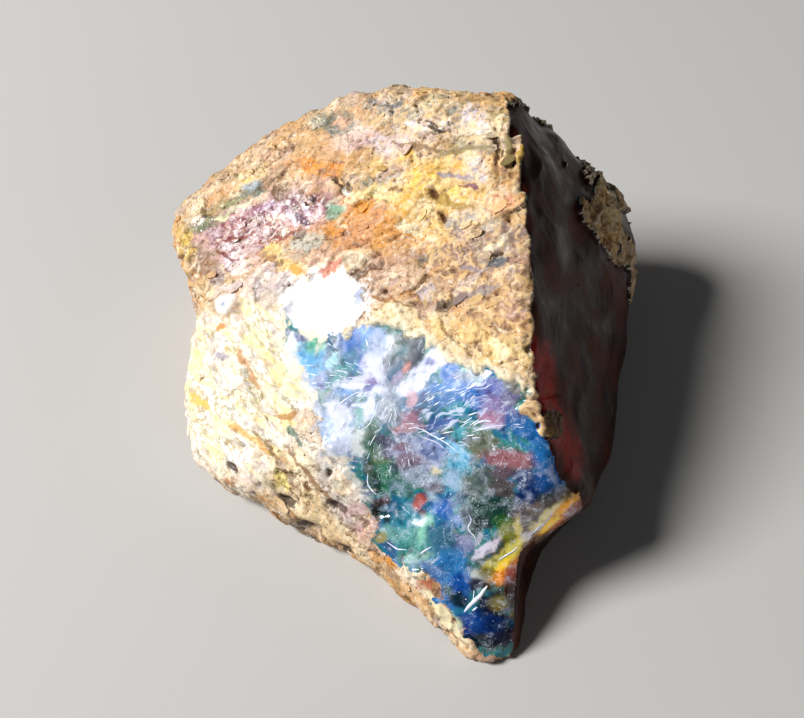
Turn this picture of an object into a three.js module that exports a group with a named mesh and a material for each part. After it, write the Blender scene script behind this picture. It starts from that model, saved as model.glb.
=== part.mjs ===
// A lump of rough amber, lying on its flattest side.
// Millimetres, +Z up, origin at the bottom centre of the lump's box. -Y is the side with the broken,
// glassy face, +X the side that drops steeply from the ridge.
//
// The lump is star-shaped about HEART: every ray from there meets the surface once. How far away it meets
// it comes from the faces that the lump broke and wore along, then swells and hollows shape it further.
import * as THREE from "three";
import { mergeVertices } from "three/addons/utils/BufferGeometryUtils.js";
import { SimplexNoise } from "three/addons/math/SimplexNoise.js";

const HEART = [-1.5, 3.8, 10]; // inside the lump, where the rays start
const SAMPLING = [25, 27, 15]; // half sizes of the ellipsoid that spreads the rays evenly
const DETAIL = 21; // splits of an icosahedron's edges; the lump has 20 * (DETAIL + 1)^2 triangles
const WELD_LENGTH = 1e-5; // corners of the unit ball closer than this are one corner
const EDGE_CRISPNESS = 22; // higher gives sharper edges where two faces meet
const CREASE_CRISPNESS = 24; // higher gives sharper creases where two lobes meet
const REST_LEVEL = 0; // height of the flat that the lump lies on

// The lump is a body with a toe at the front. Each of these lobes is bounded by broken or worn faces, given
// as a point on the face and the face's outward direction. Roots are the ends of a lobe inside the other.
const UNDERSIDE = { name: "underside", at: [0, 0, -1], out: [0, 0, -1] };
const LOBES = {
  body: [
    UNDERSIDE,
    { name: "crust face", at: [11.1, 11.2, 28.2], out: [-0.42, -0.34, 0.84] },
    { name: "window", at: [12.2, -10, 18.8], out: [-0.3, -0.67, 0.68] },
    { name: "back slope", at: [4.5, 20.8, 27], out: [0, 0.5, 0.86] },
    { name: "back", at: [-0.5, 25.3, 12], out: [0.05, 0.98, 0.15] },
    { name: "back left", at: [-18.9, 23.2, 12], out: [-0.55, 0.75, 0.3] },
    { name: "left end", at: [-24.3, 16.8, 11], out: [-0.97, 0.08, -0.2] },
    { name: "left bulge", at: [-21.4, -0.2, 5.6], out: [-0.8, -0.3, 0.5] },
    { name: "lower left", at: [-16.3, -10.1, 2.5], out: [-0.64, -0.74, -0.15] },
    { name: "lower front", at: [-5.9, -16.6, 2], out: [-0.42, -0.9, -0.1] },
    { name: "chipped front", at: [13.7, -16.4, 8], out: [0.66, -0.72, -0.22] },
    { name: "dark side, front", at: [11.9, -4.7, 20.2], out: [0.84, -0.22, 0.49] },
    { name: "dark side, rear", at: [11.9, 16.8, 26.5], out: [0.8, 0.05, 0.6] },
    { name: "dark side, lower", at: [22, 3.8, 9], out: [0.97, -0.15, 0.15] },
    { name: "back right", at: [19.5, 21.8, 11], out: [0.6, 0.8, 0.1] },
    { name: "under the left", at: [-22.3, 4.8, 2], out: [-0.72, 0.05, -0.69] },
    { name: "under the lower left", at: [-16.7, -10.3, 1.4], out: [-0.5, -0.6, -0.62] },
    { name: "under the lower front", at: [-5.7, -17, 1.2], out: [-0.3, -0.7, -0.65] },
    { name: "under the dark side", at: [23.3, 3.8, 3], out: [0.75, -0.1, -0.65] },
    { name: "under the back", at: [0.5, 26, 3], out: [0, 0.76, -0.65] },
    { name: "under the back left", at: [-18.5, 22.8, 3], out: [-0.45, 0.6, -0.66] },
  ],
  toe: [
    UNDERSIDE,
    { name: "toe top", at: [7.5, -24.2, 3.6], out: [-0.1, -0.66, 0.74] },
    { name: "toe left", at: [2.1, -22.6, 2], out: [-0.8, -0.6, -0.1] },
    { name: "toe end", at: [7.5, -27.4, 1], out: [0.1, -0.98, -0.05] },
    { name: "toe right", at: [10.5, -24.7, 2.4], out: [0.95, -0.2, 0.25] },
    { name: "toe root, upper", at: [11.1, 11.2, 25], out: [-0.42, -0.34, 0.84] },
    { name: "toe root, rear", at: [-1.5, 8.8, 10], out: [-0.3, 0.95, 0] },
  ],
};

// Local swells (push > 0) and hollows (push < 0). Each moves the surface along its rays by push at the
// centre, fading away over the reach.
const SWELLS = [
  { name: "brow", at: [-2.5, 21.8, 25], reach: 7, push: 0.6 },
  { name: "nose", at: [-23.5, 17.8, 12], reach: 4.5, push: 1.2 },
  { name: "notch", at: [-22, 10.8, 6], reach: 5, push: -2.2 },
  { name: "shoulder", at: [22.5, 15.8, 14], reach: 7, push: 2.4 },
  { name: "corner spur", at: [16.5, -13.7, 10], reach: 3.5, push: 2.2 },
  { name: "chip behind the toe", at: [11.5, -19.8, 3], reach: 3, push: -1.6 },
];

// Unevenness of the whole surface.
const UNDULATION_HEIGHT = 0.45; // how far it rises and falls
const UNDULATION_LENGTH = 8; // about how far it is from one rise to the next
const NOISE_SEED = 7;
const LARGEST_STATE = 2147483647; // of the random number generator, with the usual multiplier below
const STATE_MULTIPLIER = 16807;

// A repeatable stand-in for Math.random, so that the noise is the same at every build.
function seededRandom(seed) {
  let state = seed;
  return () => {
    state = (state * STATE_MULTIPLIER) % LARGEST_STATE;
    return state / LARGEST_STATE;
  };
}

const noise = new SimplexNoise({ random: seededRandom(NOISE_SEED) });
const heart = new THREE.Vector3(...HEART);
const lobes = Object.values(LOBES).map((faces) => faces.map(planeFromHeart));
const swells = SWELLS.map(({ at, reach, push }) => ({ centre: new THREE.Vector3(...at), reach, push }));

// A face as its outward unit normal and its distance from HEART.
function planeFromHeart({ at, out }) {
  const normal = new THREE.Vector3(...out).normalize();
  const distance = new THREE.Vector3(...at).sub(heart).dot(normal);
  return { normal, distance };
}

// Distance from HEART to the surface of one lobe in a direction: its faces, joined by rounded edges.
function reachOfLobe(planes, direction) {
  let sum = 0;
  for (const { normal, distance } of planes) {
    const lean = normal.dot(direction);
    if (lean > 0) sum += (lean / distance) ** EDGE_CRISPNESS;
  }
  return sum ** (-1 / EDGE_CRISPNESS);
}

// Distance to the surface of the lump: the furthest lobe, with soft creases between them.
function reachOfLump(direction) {
  let sum = 0;
  for (const planes of lobes) sum += reachOfLobe(planes, direction) ** CREASE_CRISPNESS;
  return sum ** (1 / CREASE_CRISPNESS);
}

// How far the surface moves outward at a point: swells, hollows and unevenness.
function pushAt(point) {
  let push = 0;
  for (const swell of swells) {
    const offset = point.distanceTo(swell.centre) / swell.reach;
    push += swell.push * Math.exp(-offset * offset);
  }
  const { x, y, z } = point.clone().divideScalar(UNDULATION_LENGTH);
  return push + UNDULATION_HEIGHT * noise.noise3d(x, y, z);
}

// The surface point on the ray from HEART in a direction.
function surfacePoint(direction) {
  const point = heart.clone().addScaledVector(direction, reachOfLump(direction));
  point.addScaledVector(direction, pushAt(point));
  point.z = Math.max(point.z, REST_LEVEL);
  return point;
}

function lumpGeometry() {
  const ball = new THREE.IcosahedronGeometry(1, DETAIL);
  ball.deleteAttribute("normal");
  ball.deleteAttribute("uv");
  const geometry = mergeVertices(ball, WELD_LENGTH);
  const position = geometry.getAttribute("position");
  const spread = new THREE.Vector3(...SAMPLING);
  const direction = new THREE.Vector3();
  for (let i = 0; i < position.count; i++) {
    direction.fromBufferAttribute(position, i).multiply(spread).normalize();
    const { x, y, z } = surfacePoint(direction);
    position.setXYZ(i, x, y, z);
  }
  geometry.computeBoundingBox();
  const middle = geometry.boundingBox.getCenter(new THREE.Vector3());
  geometry.translate(-middle.x, -middle.y, 0);
  geometry.computeVertexNormals();
  return geometry;
}

const amber = new THREE.MeshStandardMaterial({ color: 0xb98a4e, roughness: 0.7, metalness: 0 });
const lump = new THREE.Mesh(lumpGeometry(), amber);
lump.name = "amber_lump";

const part = new THREE.Group();
part.add(lump);
export default part;
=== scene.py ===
"""Rough amber: a broken lump with its weathered crust on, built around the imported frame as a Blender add-on."""

import math
from types import SimpleNamespace

import bmesh
import bpy
import numpy as np
from bpy.props import FloatProperty, FloatVectorProperty, IntProperty, PointerProperty
from mathutils import Matrix, Vector, noise


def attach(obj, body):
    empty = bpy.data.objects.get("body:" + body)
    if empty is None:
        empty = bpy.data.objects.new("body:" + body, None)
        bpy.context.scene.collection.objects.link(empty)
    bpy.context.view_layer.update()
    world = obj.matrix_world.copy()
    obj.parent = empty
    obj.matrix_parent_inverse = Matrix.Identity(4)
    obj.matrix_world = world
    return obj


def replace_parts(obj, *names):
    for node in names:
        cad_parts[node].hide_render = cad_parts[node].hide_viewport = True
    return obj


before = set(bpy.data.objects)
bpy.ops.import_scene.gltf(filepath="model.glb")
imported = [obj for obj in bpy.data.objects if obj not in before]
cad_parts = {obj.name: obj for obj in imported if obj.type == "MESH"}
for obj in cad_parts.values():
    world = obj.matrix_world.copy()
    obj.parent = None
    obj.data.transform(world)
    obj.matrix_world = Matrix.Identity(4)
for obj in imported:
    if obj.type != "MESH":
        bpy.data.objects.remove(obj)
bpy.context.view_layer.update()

bl_info = {
    "name": "Rough Amber",
    "version": (1, 0, 0),
    "blender": (4, 5, 0),
    "location": "3D View > Sidebar > Amber",
    "description": "Builds a rough amber lump with its crust, its broken face and what is sealed in it",
    "category": "Add Mesh",
}

MM = 0.001
NODE = "amber_lump"
BODY = "root"
LUMP = "amber_body"

MATH, VECTOR, RANGE, MIX = "ShaderNodeMath", "ShaderNodeVectorMath", "ShaderNodeMapRange", "ShaderNodeMix"
NOISE, CELLS, FIELD = "ShaderNodeTexNoise", "ShaderNodeTexVoronoi", "ShaderNodeAttribute"
SPLIT, JOIN, STORED = "ShaderNodeSeparateXYZ", "ShaderNodeCombineXYZ", "GeometryNodeInputNamedAttribute"
PLUS, MINUS, TIMES, OVER, ALONG, SCALED = (
    {"operation": name} for name in ("ADD", "SUBTRACT", "MULTIPLY", "DIVIDE", "DOT_PRODUCT", "SCALE"))
TIMES_PLUS, SIZE_OF, UNSIGNED, ABOVE, FRACTION, POWER, HIGHEST = (
    {"operation": name}
    for name in ("MULTIPLY_ADD", "LENGTH", "ABSOLUTE", "GREATER_THAN", "FRACT", "POWER", "MAXIMUM"))
SMOOTH = {"interpolation_type": "SMOOTHSTEP"}
TO_EDGE = {"feature": "DISTANCE_TO_EDGE"}
COLOURS = {"data_type": "RGBA"}

# The broken face is drawn in its own frame: u runs to the right, v up the face, both in mm from the
# lump's origin, and the third axis points out of the face.
FACE_TILT = math.radians(51)
FACE_U = Vector((1, 0, 0))
FACE_V = Vector((0, math.sin(FACE_TILT), math.cos(FACE_TILT)))
FACE_OUT = Vector((0, -math.cos(FACE_TILT), math.sin(FACE_TILT)))

# The crust's grain runs along these lines: low on the left flank, and over the top.
RUN_LOW = 0.73 * FACE_U - 0.68 * FACE_V
RUN_HIGH = 0.89 * FACE_U + 0.45 * FACE_V

# Amber lets red through best and blue hardly at all: the same in every piece of its glass, per metre.
ABSORPTION = {"Color": (0.914, 0.643, 0.0, 1.0), "Density": 700.0}
AMBER_IOR = 1.54

# Seen from inside amber, a bubble's surface bends light the other way: one over amber's 1.54.
BUBBLE_IOR = 0.65

# Marks no wider than this to either side are laid last, over the crust's other colours.
SLIT_WIDTH = 0.45

# Vector noise starts from the clock unless it is given a seed. This one gives the marks their ragged edges.
MARK_SEED = 1795341556

# The stage: where the lamps stand from the lump, what they and the camera look at, in metres.
KEY_SIDE = (-1.0, -0.08, 0.95)
FILL_SIDE = (1.0, -0.6, 0.5)
FILL_SIZE = 0.45
LAMP_DISTANCE = 0.7
LAMP_AIM = Vector((0, 0, 0.012))
CAMERA_AIM = Vector((-0.45, 2.75, 8.0)) * MM
FLOOR_SIZE = 4.0

# Specks in the face are at most this long, to either side. Slivers are drawn in this many steps and
# waver to either side by up to about half of this.
SPECK_LENGTH = 0.07 * MM
SLIVER_STEPS = 18
SLIVER_WAVER = 0.35 * MM

# The low bodies that crumbs, flakes and feathers start from.
BODIES = {
    "IcoSphere": {"Radius": 1.0, "Subdivisions": 1},
    "Cylinder": {"Vertices": 7, "Radius": 1.0, "Depth": 2.0},
}

# White slivers in the broken face: width, then the points of each line, in mm on the face.
SLIVERS = (
    (0.5, ((4.9, -16.3), (5.6, -15.4), (6.6, -14.4), (7.6, -12.9))),
    (0.2, ((5.9, -15.7), (6.5, -15.3))),
    (0.14, ((6.0, -13.6), (6.1, -14.6), (5.6, -15.2))),
    (0.26, ((13.4, -5.9), (12.8, -7.2), (11.6, -8.4), (10.4, -9.3))),
    (0.2, ((10.3, -9.5), (9.4, -10.4), (8.0, -11.2))),
    (0.16, ((5.3, -6.6), (5.9, -7.4), (5.6, -8.2), (6.1, -9.0), (6.4, -9.8))),
    (0.16, ((-3.6, -3.0), (-3.7, -4.2), (-3.2, -5.1), (-2.5, -5.6))),
    (0.18, ((-2.1, -9.5), (-1.0, -10.3), (0.3, -10.2))),
    (0.2, ((1.0, -10.8), (2.4, -9.8))),
    (0.15, ((-0.9, 0.2), (0.6, 0.9), (2.2, 0.3), (3.9, -0.7), (5.2, -2.0))),
    (0.1, ((0.8, 0.2), (2.4, -0.3), (4.0, -1.4))),
    (0.16, ((5.4, 2.0), (6.4, 2.4))),
    (0.24, ((5.7, 1.0), (6.9, 1.6), (7.9, 1.5))),
    (0.14, ((5.4, 0.4), (7.0, 0.9), (9.4, 1.4))),
    (0.22, ((5.2, 4.4), (6.7, 5.1))),
    (0.14, ((-6.4, 4.9), (-4.6, 4.7), (-3.0, 4.9))),
    (0.14, ((-6.9, 2.6), (-5.4, 3.6), (-4.0, 4.2))),
    (0.14, ((-1.2, 4.4), (0.6, 5.0), (2.4, 6.4))),
    (0.14, ((-2.6, 3.2), (-3.2, 1.6), (-4.2, 0.2))),
)

# Strain feathers in the broken face fan out from here (u, v).
HEART = (-1.4, 4.5)

# The ringed knot on the flank: an ochre rim, a white ring and a grey middle.
RINGED_KNOT = (
    (-18.2, 12.7, 1.5, 1.35, 40, "#A8804C"),
    (-18.1, 12.7, 1.15, 1.0, 50, "#FDFAF4"),
    (-18.1, 12.6, 0.42, 0.36, 0, "#8C98AC"),
)

# The flat, glossy facet of crust above the broken face, painted white as a highlight, in the face's millimetres.
FACET = (
    (-12.4, 12.9), (-11.6, 14.1), (-10.4, 14.8), (-8.4, 15.1), (-5.7, 15.4), (-4.4, 13.7), (-4.1, 11.7),
    (-5.2, 10.5), (-6.8, 8.9), (-8.0, 9.0), (-9.2, 9.6), (-11.9, 11.2),
)

# The outline of the broken, glassy face (u, v), in mm.
FACE_OUTLINE = (
    (-12.0, 11.2), (-10.3, 10.0), (-8.5, 9.2), (-5.9, 9.6), (-4.2, 10.6), (-2.4, 10.4), (-0.8, 10.0),
    (0.5, 9.7), (1.7, 9.2), (2.8, 8.0), (4.1, 6.9), (5.7, 6.5), (7.5, 6.2), (8.8, 5.5), (10.0, 4.9),
    (10.8, 4.2), (10.6, 3.3), (10.2, 2.4), (11.2, 1.3), (12.3, 0.2), (13.3, -0.3), (14.4, -0.9),
    (14.8, -2.4), (14.4, -3.4), (15.2, -3.6), (17.6, -4.2), (17.4, -6.4), (16.0, -8.2), (15.2, -10.5),
    (13.2, -12.0), (11.8, -13.2), (10.8, -14.2), (10.6, -15.6), (11.4, -17.6),
    (11.6, -19.5), (9.0, -20.4), (7.0, -19.6), (5.4, -18.4), (4.4, -17.0), (3.6, -15.6), (2.4, -14.9),
    (3.3, -14.1), (2.6, -12.9), (0.6, -12.3), (-1.4, -11.5), (-3.0, -10.4), (-3.2, -9.1), (-2.7, -7.7),
    (-3.4, -6.4),
    (-4.2, -5.0), (-5.1, -3.9), (-6.4, -2.4), (-7.6, -0.9), (-8.4, 1.0), (-9.2, 3.3), (-10.2, 5.2),
    (-11.2, 6.9), (-12.4, 9.0),
)

# Where the face's amber rim gives off a painted glow, standing in for light that comes through it: the ends of
# each stretch and its half width.
RIM_LIGHT = ((((15.4, -5.6), (12.6, -8.2)), 1.5), (((12.6, -8.2), (8.8, -12.6)), 1.6))

# Hollows (positive depth) and swellings (negative) that stand alone on the lit sides:
# u, v, half length, half width, turn in degrees, depth, all lengths in mm.
DENTS = (
    (-18.1, 12.7, 1.3, 1.2, 0, -0.3),
    (-18.1, 12.6, 0.5, 0.45, 0, 0.35),
    (-14.9, 20.9, 6.8, 2.6, 14, 1.1),
    (-6.6, 24.6, 1.3, 0.22, -40, 0.7),
    (-6.1, 23.7, 0.6, 0.5, 0, 0.5),
    (2.8, 29.6, 1.7, 0.25, -28, 0.7),
    (8.5, 26.8, 2.2, 0.32, 92, 0.9),
    (10.0, 26.0, 1.2, 0.25, 80, 0.7),
    (2.7, 22.9, 0.6, 0.35, -60, 0.6),
    (3.4, 20.5, 0.9, 0.3, -70, 0.8),
    (9.4, 20.1, 0.55, 0.5, 0, 0.8),
    (8.1, 16.1, 0.8, 0.4, 10, 0.45),
    (1.6, 16.6, 0.5, 0.4, 0, 0.45),
    (3.5, 12.0, 0.9, 0.4, 20, 0.5),
    (-18.1, 12.6, 1.3, 1.1, 50, -0.5),
    (-11.2, -2.5, 3.9, 0.28, -52, 0.6),
    (-13.4, 3.4, 2.2, 0.25, -50, 0.4),
    (-16.9, -3.3, 0.7, 0.4, -30, 0.8),
    (-11.5, -6.3, 1.1, 0.4, -25, 0.9),
    (-6.6, -6.5, 0.9, 0.4, -20, 0.7),
    (-9.3, -9.3, 1.4, 0.8, -20, 1.6),
    (-5.6, -10.9, 0.7, 0.3, -25, 0.8),
    (-2.4, -6.5, 0.6, 0.5, 0, 0.8),
    (0.2, 7.0, 2.1, 1.5, 60, 0.35),
    (11.8, -1.8, 3.0, 2.6, 0, -0.55),
    (7.0, -16.8, 2.0, 1.6, 20, -0.3),
    (11.9, 3.6, 1.9, 0.25, 10, 0.5),
)


# The crust's broad zones: u, v, half length, half width, turn in degrees and colour, lengths in
# mm in the face's frame.
CRUST_ZONES = (
    (-16.5, 3.0, 6.0, 9.5, 8, "#EAE4D6"),
    (-9.0, -5.5, 8.0, 2.6, -40, "#DEC498"),
    (-11.5, 27.0, 9.5, 3.4, 30, "#D2A470"),
    (-3.5, 19.0, 5.8, 4.4, -15, "#DC8E24"),
    (1.5, 24.2, 5.4, 3.2, -8, "#DCB04A"),
    (-2.5, 28.4, 4.4, 1.7, -14, "#DDCCD2"),
    (3.6, 30.6, 5.4, 1.6, -6, "#A8A08C"),
    (6.6, 28.6, 3.4, 1.8, -20, "#B4A690"),
    (-2.4, 15.2, 1.7, 3.6, 8, "#DC9C4C"),
    (4.5, 13.0, 7.5, 5.6, -15, "#A67E5C"),
    (8.0, 17.6, 3.6, 3.0, 0, "#907A74"),
    (-6.0, 16.0, 6.0, 2.4, -10, "#CCA68C"),
    (-13.5, 14.6, 4.5, 1.6, 10, "#D8CED6"),
    (-14.5, 20.8, 7.4, 2.7, 14, "#C8A2AE"),
    (0.5, 10.6, 4.4, 1.3, -18, "#FBECC4"),
    (6.4, 8.6, 5.2, 1.5, -20, "#EACD8E"),
)

# Smaller marks on the crust, in the same form. The near-black ones that lie over dents are painted shade in those
# holes.
CRUST_MARKS = (
    # Top edge.
    (-7.5, 30.9, 2.3, 1.2, -12, "#55655A"),
    (-6.4, 30.6, 0.8, 0.5, 0, "#D8A888"),
    (-2.2, 32.0, 2.2, 1.0, -8, "#6A7078"),
    (3.5, 31.6, 1.7, 0.8, -15, "#6E7260"),
    (6.8, 30.1, 1.7, 0.8, -48, "#D9D6EA"),
    (8.6, 30.2, 1.4, 1.6, 0, "#C9A65E"),
    (3.5, 29.6, 1.3, 0.6, 10, "#FBF6EE"),
    (1.2, 30.0, 1.5, 0.6, -12, "#EDE4E8"),
    (2.6, 29.5, 2.0, 0.16, -28, "#3A2A1E"),
    # The far shoulder: pale gold patches are painted light where light grazes it, and near-black spots are
    # painted shade in its hollows.
    (20.9, 22.8, 3.8, 2.6, -62, "#B08C50"),
    (19.4, 25.2, 0.9, 0.6, -30, "#E4CC84"),
    (21.6, 23.4, 0.8, 0.5, 20, "#140A06"),
    (20.2, 22.0, 0.8, 0.5, 0, "#EAD08C"),
    (22.4, 20.6, 0.9, 0.5, -50, "#160C08"),
    (21.0, 24.8, 0.5, 0.4, 0, "#1C100A"),
    (22.2, 21.8, 0.8, 0.5, 10, "#E8C884"),
    # The orange and yellow crust in the middle.
    (-10.4, 26.6, 2.5, 0.7, -10, "#E8963C"),
    (-7.8, 26.0, 2.0, 0.9, -18, "#E2902E"),
    (-15.5, 25.8, 2.2, 0.9, 25, "#EBCB84"),
    (-3.2, 23.2, 2.6, 0.8, -10, "#F2E098"),
    (-1.8, 25.0, 2.0, 0.7, 20, "#9C8E8C"),
    (-4.5, 24.0, 1.2, 0.5, 30, "#8E8A70"),
    (-6.5, 24.5, 1.5, 0.2, -40, "#30180C"),
    (-6.1, 23.7, 0.75, 0.65, 0, "#6A4A1E"),
    (-6.1, 23.7, 0.4, 0.4, 0, "#FBF8EE"),
    (-0.1, 26.8, 0.9, 0.6, 0, "#F0C23C"),
    (1.6, 24.1, 1.3, 0.9, 10, "#F4CB46"),
    (3.7, 23.2, 0.9, 0.8, 0, "#F4D054"),
    (5.0, 25.2, 1.1, 0.8, 0, "#E9B04A"),
    (6.6, 25.0, 1.0, 1.2, 0, "#D9CFD4"),
    (4.4, 24.6, 1.9, 0.35, -8, "#8A7E86"),
    (1.0, 27.6, 2.8, 0.25, -12, "#7A5A34"),
    (5.0, 27.0, 2.6, 0.3, 8, "#8A7A54"),
    (5.8, 23.4, 1.1, 0.22, -6, "#6E3450"),
    (4.2, 21.9, 2.0, 0.3, -24, "#9A7A28"),
    (8.7, 21.8, 1.6, 0.9, 10, "#D8937C"),
    (6.1, 19.9, 2.8, 1.0, 5, "#ABA294"),
    (2.7, 22.9, 0.6, 0.35, -50, "#4A1A0C"),
    (3.4, 20.5, 0.8, 0.28, -66, "#3A1208"),
    (2.9, 19.2, 1.0, 1.4, 20, "#E2B86C"),
    (0.3, 19.6, 1.3, 0.6, -20, "#F4E6C2"),
    (8.5, 26.8, 2.1, 0.28, 93, "#34100A"),
    (10.0, 26.0, 1.2, 0.22, 80, "#42180C"),
    (9.4, 26.9, 1.7, 0.42, 88, "#8C7C4E"),
    (10.7, 26.2, 1.2, 0.35, 82, "#A8862A"),
    (9.9, 23.0, 0.7, 0.55, 0, "#D9923A"),
    (9.4, 20.1, 0.5, 0.55, 0, "#561A10"),
    # The tan crust above the broken face.
    (8.1, 16.1, 1.1, 0.4, 8, "#47535E"),
    (6.0, 15.4, 1.2, 0.3, -10, "#8A7A80"),
    (1.6, 16.6, 0.5, 0.4, 0, "#6E6664"),
    (4.6, 12.8, 1.8, 0.35, 20, "#7A6A66"),
    (7.0, 13.4, 1.6, 0.3, 12, "#80706C"),
    (3.4, 12.0, 0.95, 0.42, 5, "#55493E"),
    (2.0, 13.4, 0.9, 0.8, 0, "#AFA2A6"),
    (2.1, 10.0, 0.22, 1.0, 0, "#94602A"),
    (-1.5, 12.6, 2.4, 0.16, -14, "#96622E"),
    (9.5, 11.6, 1.0, 0.8, 0, "#B98E78"),
    # The pink hollow and its surroundings.
    (-12.6, 22.3, 2.6, 0.9, 10, "#CDBAD2"),
    (-9.4, 22.7, 1.9, 0.9, 8, "#6C2B3C"),
    (-10.6, 21.2, 1.2, 0.4, -30, "#5E4658"),
    (-10.0, 22.2, 0.8, 0.35, -50, "#F3E6F2"),
    (-11.3, 21.2, 0.9, 0.25, -60, "#F0E2EE"),
    (-13.0, 19.6, 1.5, 0.5, 10, "#A3A8A2"),
    (-17.6, 21.2, 2.0, 0.7, 15, "#C48E90"),
    (-17.6, 19.4, 2.6, 0.2, 14, "#843C28"),
    (-12.6, 19.4, 2.8, 0.2, 14, "#8C4430"),
    (-18.0, 18.5, 1.6, 0.5, -8, "#FAEFF0"),
    (-18.2, 17.6, 1.5, 0.2, -25, "#7C3426"),
    (-4.8, 12.7, 1.3, 0.3, 76, "#B4BCD8"),
    (-5.6, 14.3, 1.0, 0.2, -35, "#C4C8DC"),
    (-11.5, 11.8, 1.2, 0.4, 80, "#A8A4B0"),
    (-6.6, 10.4, 0.9, 0.2, 40, "#C4D4EC"),
    (-17.0, 16.6, 1.5, 1.0, 0, "#F0DDE4"),
    (-15.2, 17.2, 0.9, 0.9, 0, "#C2938C"),
    (-13.0, 18.0, 1.3, 0.6, -20, "#F4D68A"),
    (-21.0, 17.2, 2.2, 1.2, -42, "#87695A"),
    (-23.0, 19.4, 0.9, 1.9, 15, "#DBB84E"),
    (-18.4, 23.0, 3.0, 0.8, 24, "#78804E"),
    (-17.5, 22.3, 2.8, 0.22, 24, "#E6E2B8"),
    (-21.3, 21.2, 1.7, 1.15, -8, "#5F7046"),
    (-21.4, 21.3, 0.85, 0.55, 10, "#F4F4EE"),
    (-15.3, 24.3, 1.1, 0.75, 0, "#66807C"),
    (-16.2, 24.9, 0.9, 0.5, 0, "#A4B0C0"),
    (-7.1, 21.8, 0.85, 1.0, 0, "#6FA48C"),
    (-5.5, 16.2, 0.9, 1.0, 0, "#93A092"),
    (-10.2, 18.4, 2.2, 1.0, 25, "#B6B4A6"),
    (-11.2, 16.3, 1.6, 0.8, -10, "#F5D878"),
    (-10.8, 16.0, 0.9, 0.45, -10, "#EE9A34"),
    (-7.3, 16.0, 1.4, 0.36, 32, "#C8745C"),
    (-13.2, 13.2, 2.4, 0.8, 15, "#9C8676"),
    # The glossy facet, painted white as a highlight.
    (-7.9, 13.0, 4.5, 2.9, -8, "#FFFFFF"),
    (-10.4, 11.8, 2.4, 1.6, 20, "#FFFFFF"),
    # The pale left flank, from the ringed knot down.
    (-20.2, 12.6, 0.45, 1.9, 10, "#E2B684"),
    (-18.4, 10.5, 0.45, 0.4, 0, "#D6781E"),
    (-16.4, 12.0, 0.35, 1.0, 0, "#C98E6A"),
    (-13.4, 10.2, 0.5, 1.5, 20, "#C8946C"),
    (-15.0, 9.0, 1.2, 1.5, -20, "#D6DCC8"),
    (-13.6, 7.1, 0.55, 0.6, 0, "#CE9030"),
    (-13.0, 5.4, 0.25, 1.8, -18, "#D49A74"),
    (-16.4, 7.2, 2.1, 1.2, -48, "#F4E08A"),
    (-15.5, 6.4, 2.6, 0.25, -62, "#C08A5A"),
    (-18.2, 7.4, 0.9, 0.4, 0, "#A49AA4"),
    (-15.4, 5.6, 0.6, 0.5, -30, "#9C9AA0"),
    (-15.2, 4.5, 1.0, 0.7, 0, "#B9AB66"),
    (-17.8, 3.9, 0.55, 0.5, 0, "#A88468"),
    (-17.8, 3.9, 0.26, 0.24, 0, "#F2E8D8"),
    (-16.6, 2.3, 1.7, 1.5, 0, "#FBF5EA"),
    (-21.6, 3.9, 0.6, 0.5, 0, "#B8A050"),
    (-20.6, 3.0, 1.3, 0.4, -30, "#D9B44E"),
    (-14.4, 1.8, 0.22, 3.0, -5, "#BC9256"),
    (-13.2, 3.4, 2.6, 0.7, -52, "#F2DE92"),
    (-11.4, 1.7, 1.0, 0.35, 5, "#AA7838"),
    (-10.8, 0.5, 0.6, 0.4, -30, "#5E7866"),
    (-10.4, -0.6, 0.6, 0.3, -50, "#6E7E78"),
    (-14.8, -0.6, 3.2, 0.4, -30, "#D9A256"),
    (-15.4, -2.2, 1.8, 0.7, -30, "#F6E8D0"),
    (-12.2, -2.6, 3.9, 0.24, -52, "#7C5C3A"),
    (-10.0, -3.0, 2.6, 1.1, -48, "#F0DDB4"),
    (-11.8, -4.2, 1.2, 0.6, -45, "#EEDB62"),
    (-9.0, -4.0, 4.0, 0.22, -48, "#8C6844"),
    (-16.9, -3.3, 0.65, 0.4, -30, "#2E1408"),
    (-16.8, -4.6, 0.8, 0.5, -30, "#C8782E"),
    (-11.5, -6.3, 1.1, 0.42, -25, "#2A0F08"),
    (-6.6, -6.5, 1.0, 0.4, -15, "#351812"),
    (-9.3, -9.3, 1.5, 0.8, -20, "#120A06"),
    (-5.6, -10.9, 0.8, 0.3, -25, "#20100A"),
    (-2.5, -6.6, 0.6, 0.55, 0, "#24120C"),
    (-3.6, -6.6, 1.0, 0.5, -30, "#6E5E52"),
    (-5.2, -6.9, 1.0, 0.6, -10, "#C9A4A0"),
    (-3.8, -8.5, 1.5, 1.2, 0, "#C59A90"),
    (-2.9, -10.0, 1.2, 0.6, -40, "#F0D2C4"),
    (-2.2, -11.5, 1.4, 0.5, -25, "#D8923C"),
    (0.4, -12.9, 2.4, 0.7, -48, "#E8DCC4"),
    (1.8, -13.4, 0.9, 0.45, 20, "#B4684E"),
    (3.6, -16.4, 3.4, 0.45, -52, "#EBDCB4"),
    (4.7, -17.2, 0.8, 0.65, 0, "#EFE9D2"),
    (6.6, -19.4, 2.2, 0.5, -14, "#C89A5A"),
)

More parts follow.
